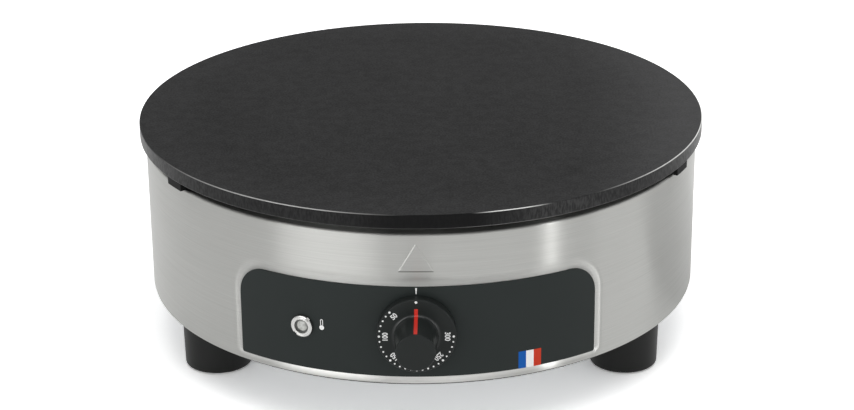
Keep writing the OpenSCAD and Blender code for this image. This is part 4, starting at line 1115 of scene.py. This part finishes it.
def knob_front(lift=0.0):
    """Outline of the knob from its fillet to its end; lift moves it outwards."""
    lean = degrees(draft)
    middle = (grip_at(skirt_t + fillet_r) + fillet_r / cos(draft), skirt_t + fillet_r)
    fillet = arc(middle, fillet_r - lift, 270, 180 + lean, FILLET_STEPS)
    return fillet + arc((end_r - end_edge, knob_l - end_edge), end_edge + lift, lean, 90, 6)


def facing_front(bm):
    """Turns a shape that was made upright so that it faces forward on the knob's axis."""
    forward = Matrix.Rotation(pi / 2, 3, "X")
    bmesh.ops.rotate(bm, verts=bm.verts, cent=(0, 0, 0), matrix=forward)
    bmesh.ops.translate(bm, vec=(0, -knob_back, knob_axis), verts=bm.verts)
    return bm

# %% Knob
def make_knob():
    """Turns the profile: bore, boss and hollow, then the skirt, the fillet and the grip."""
    bore, boss, hollow, depth, back_edge, skirt_edge = 3.05, 7.0, 12.1, 19.0, 0.3, 1
    profile = [(0, depth), (bore, depth), (bore, 0), (boss, 0), (boss, depth), (hollow, depth)]
    profile += [(hollow, 0), (skirt_r - back_edge, 0), (skirt_r, back_edge)]
    profile += arc((skirt_r - skirt_edge, skirt_t - skirt_edge), skirt_edge, 0, 90, 6)
    profile += [(skirt_r - 2 * skirt_edge, skirt_t), (grip_r + fillet_r + 1, skirt_t)]
    profile += knob_front()
    profile += [(end_r - 2.5, knob_l), (0, knob_l)]
    return facing_front(lathe(profile, 160))


make_piece("knob_moulding", make_knob(), "knob", "knob_plastic", ["knob"])

# %% [markdown]
# ## Pointer
# A red strip is let into the knob, over the skirt and up the grip. Its outline is the
# knob's own outline, lifted by a tenth of a millimetre, so it follows the fillet; the strip
# is that outline given a width.

# %% Pointer
pointer_w, pointer_from, proud, depth_in = 2.4, 19.5, 0.1, 0.9


def make_pointer():
    """Fills the outline from the skirt to the grip's end and gives it its width."""
    over = [(pointer_from, skirt_t + proud)] + knob_front(proud)[:FILLET_STEPS + 1]
    tip = knob_l - depth_in
    over.append((grip_at(tip) + proud, tip))
    under = [(grip_at(tip) - depth_in, tip), (grip_r - depth_in, skirt_t - depth_in)]
    under.append((pointer_from, skirt_t - depth_in))
    bm = bmesh.new()
    side = bm.faces.new([bm.verts.new((-pointer_w / 2, r, h)) for r, h in over + under])
    made = bmesh.ops.extrude_face_region(bm, geom=[side], use_keep_orig=True)["geom"]
    far = [v for v in made if isinstance(v, bmesh.types.BMVert)]
    bmesh.ops.translate(bm, vec=(pointer_w, 0, 0), verts=far)
    bmesh.ops.recalc_face_normals(bm, faces=bm.faces)
    return facing_front(bm)


make_piece("pointer", make_pointer(), "knob", "red_plastic", ["knob_pointer"])

# %% [markdown]
# ## Dial
# Numbers and dots are printed on the skirt and turn with the knob. Blender's own letter
# shapes are made a mesh first, then narrowed, set upright and turned to their place. Each
# number stands at a large dot, with small dots between them; the largest dot means off.

# %% Dial numbers
NUMBER_TURNS = {"50": 45, "100": 90, "150": 135, "200": 180, "250": 225, "300": 270}
NUMBER_AT, NUMBER_HIGH, NARROW = 20.3, 3.7, 0.86
LETTER_HALF, LETTER_SWELL = 0.01, 0.026


def number_mesh(text):
    """A number as a mesh in the dial's plane, centred, with its true height."""
    curve = bpy.data.curves.new("number", "FONT")
    curve.body, curve.extrude, curve.offset = text, LETTER_HALF, LETTER_SWELL
    writing = bpy.data.objects.new("number", curve)
    mesh = bpy.data.meshes.new_from_object(writing)
    bm = bmesh.new()
    bm.from_mesh(mesh)
    bpy.data.objects.remove(writing)
    bpy.data.curves.remove(curve)
    bpy.data.meshes.remove(mesh)
    bmesh.ops.remove_doubles(bm, verts=bm.verts, dist=1e-5)
    xs, ys = [v.co.x for v in bm.verts], [v.co.y for v in bm.verts]
    size = NUMBER_HIGH / (max(ys) - min(ys))
    middle = Vector(((max(xs) + min(xs)) / 2, (max(ys) + min(ys)) / 2, 0))
    bmesh.ops.translate(bm, vec=-middle, verts=bm.verts)
    bmesh.ops.scale(bm, vec=(size * NARROW, size, INK / LETTER_HALF), verts=bm.verts)
    return bm


def put_on_dial(bm, radius, turn):
    """Moves a shape out to a radius and round the dial, against the clock."""
    bmesh.ops.translate(bm, vec=(0, radius, skirt_t), verts=bm.verts)
    spin_to(bm, turn)
    return bm


numbers = [put_on_dial(number_mesh(text), NUMBER_AT, turn) for text, turn in NUMBER_TURNS.items()]
make_piece("dial_numbers", facing_front(gather(numbers)), "knob", "print_white", shade=False)

# %% Dial dots
DOTS_AT, DOT_PITCH = 24.2, 9
OFF_DOT, LARGE_DOT, SMALL_DOT = 1.8, 1.6, 1.2


def dot(turn, width):
    """A flat disc on the dial."""
    bm = bmesh.new()
    bmesh.ops.create_cone(
        bm, cap_ends=True, segments=20, radius1=width / 2, radius2=width / 2, depth=2 * INK
    )
    return put_on_dial(bm, DOTS_AT, turn)


dots = [dot(0, OFF_DOT)]
for turn in range(45, 271, DOT_PITCH):
    dots.append(dot(turn, LARGE_DOT if turn in NUMBER_TURNS.values() else SMALL_DOT))
make_piece("dial_dots", facing_front(gather(dots)), "knob", "print_white", shade=False)

# %% [markdown]
# ## Feet
# Three hollow black mouldings with a slight taper and a round lower edge. One lathe profile
# makes the wall, the floor, the seat of the rubber pad and the boss round the screw.

# %% Feet
foot_top_r, sole_r, wall_t, foot_edge, sole_edge = 24.2, 23.5, 3.0, 0.4, 2.0
pad_seat_r, head_r, screw_bore_r, screw_boss_r = 19.05, 5.8, 3.3, 8.0
foot_low, pad_seat, head_seat, foot_floor, foot_high = 0.8, 3.3, 7.1, 8.3, 37.0


def make_foot(middle):
    """Turns one foot: boss, floor and wall inside, the outside, then the screw's hole."""
    inside_r = sole_r - wall_t
    profile = [(screw_boss_r, foot_high), (screw_boss_r, foot_floor)]
    profile += [(inside_r, foot_floor), (inside_r, foot_high)]
    profile += [(foot_top_r - foot_edge, foot_high), (foot_top_r, foot_high - foot_edge)]
    profile += reversed(arc((sole_r - sole_edge, foot_low + sole_edge), sole_edge, -90, 0, 6))
    profile += [(pad_seat_r, foot_low), (pad_seat_r, pad_seat), (head_r, pad_seat)]
    profile += [(head_r, head_seat), (screw_bore_r, head_seat)]
    profile += [(screw_bore_r, foot_high), (screw_boss_r, foot_high)]
    bm = lathe(profile, 96)
    bmesh.ops.translate(bm, vec=(middle.x, middle.y, 0), verts=bm.verts)
    return bm


for place in ("front_left", "front_right", "rear"):
    low, high = box_mm("foot_" + place)
    foot = make_foot((low + high) / 2)
    make_piece("moulded_foot_" + place, foot, "housing", "black_plastic", ["foot_" + place])
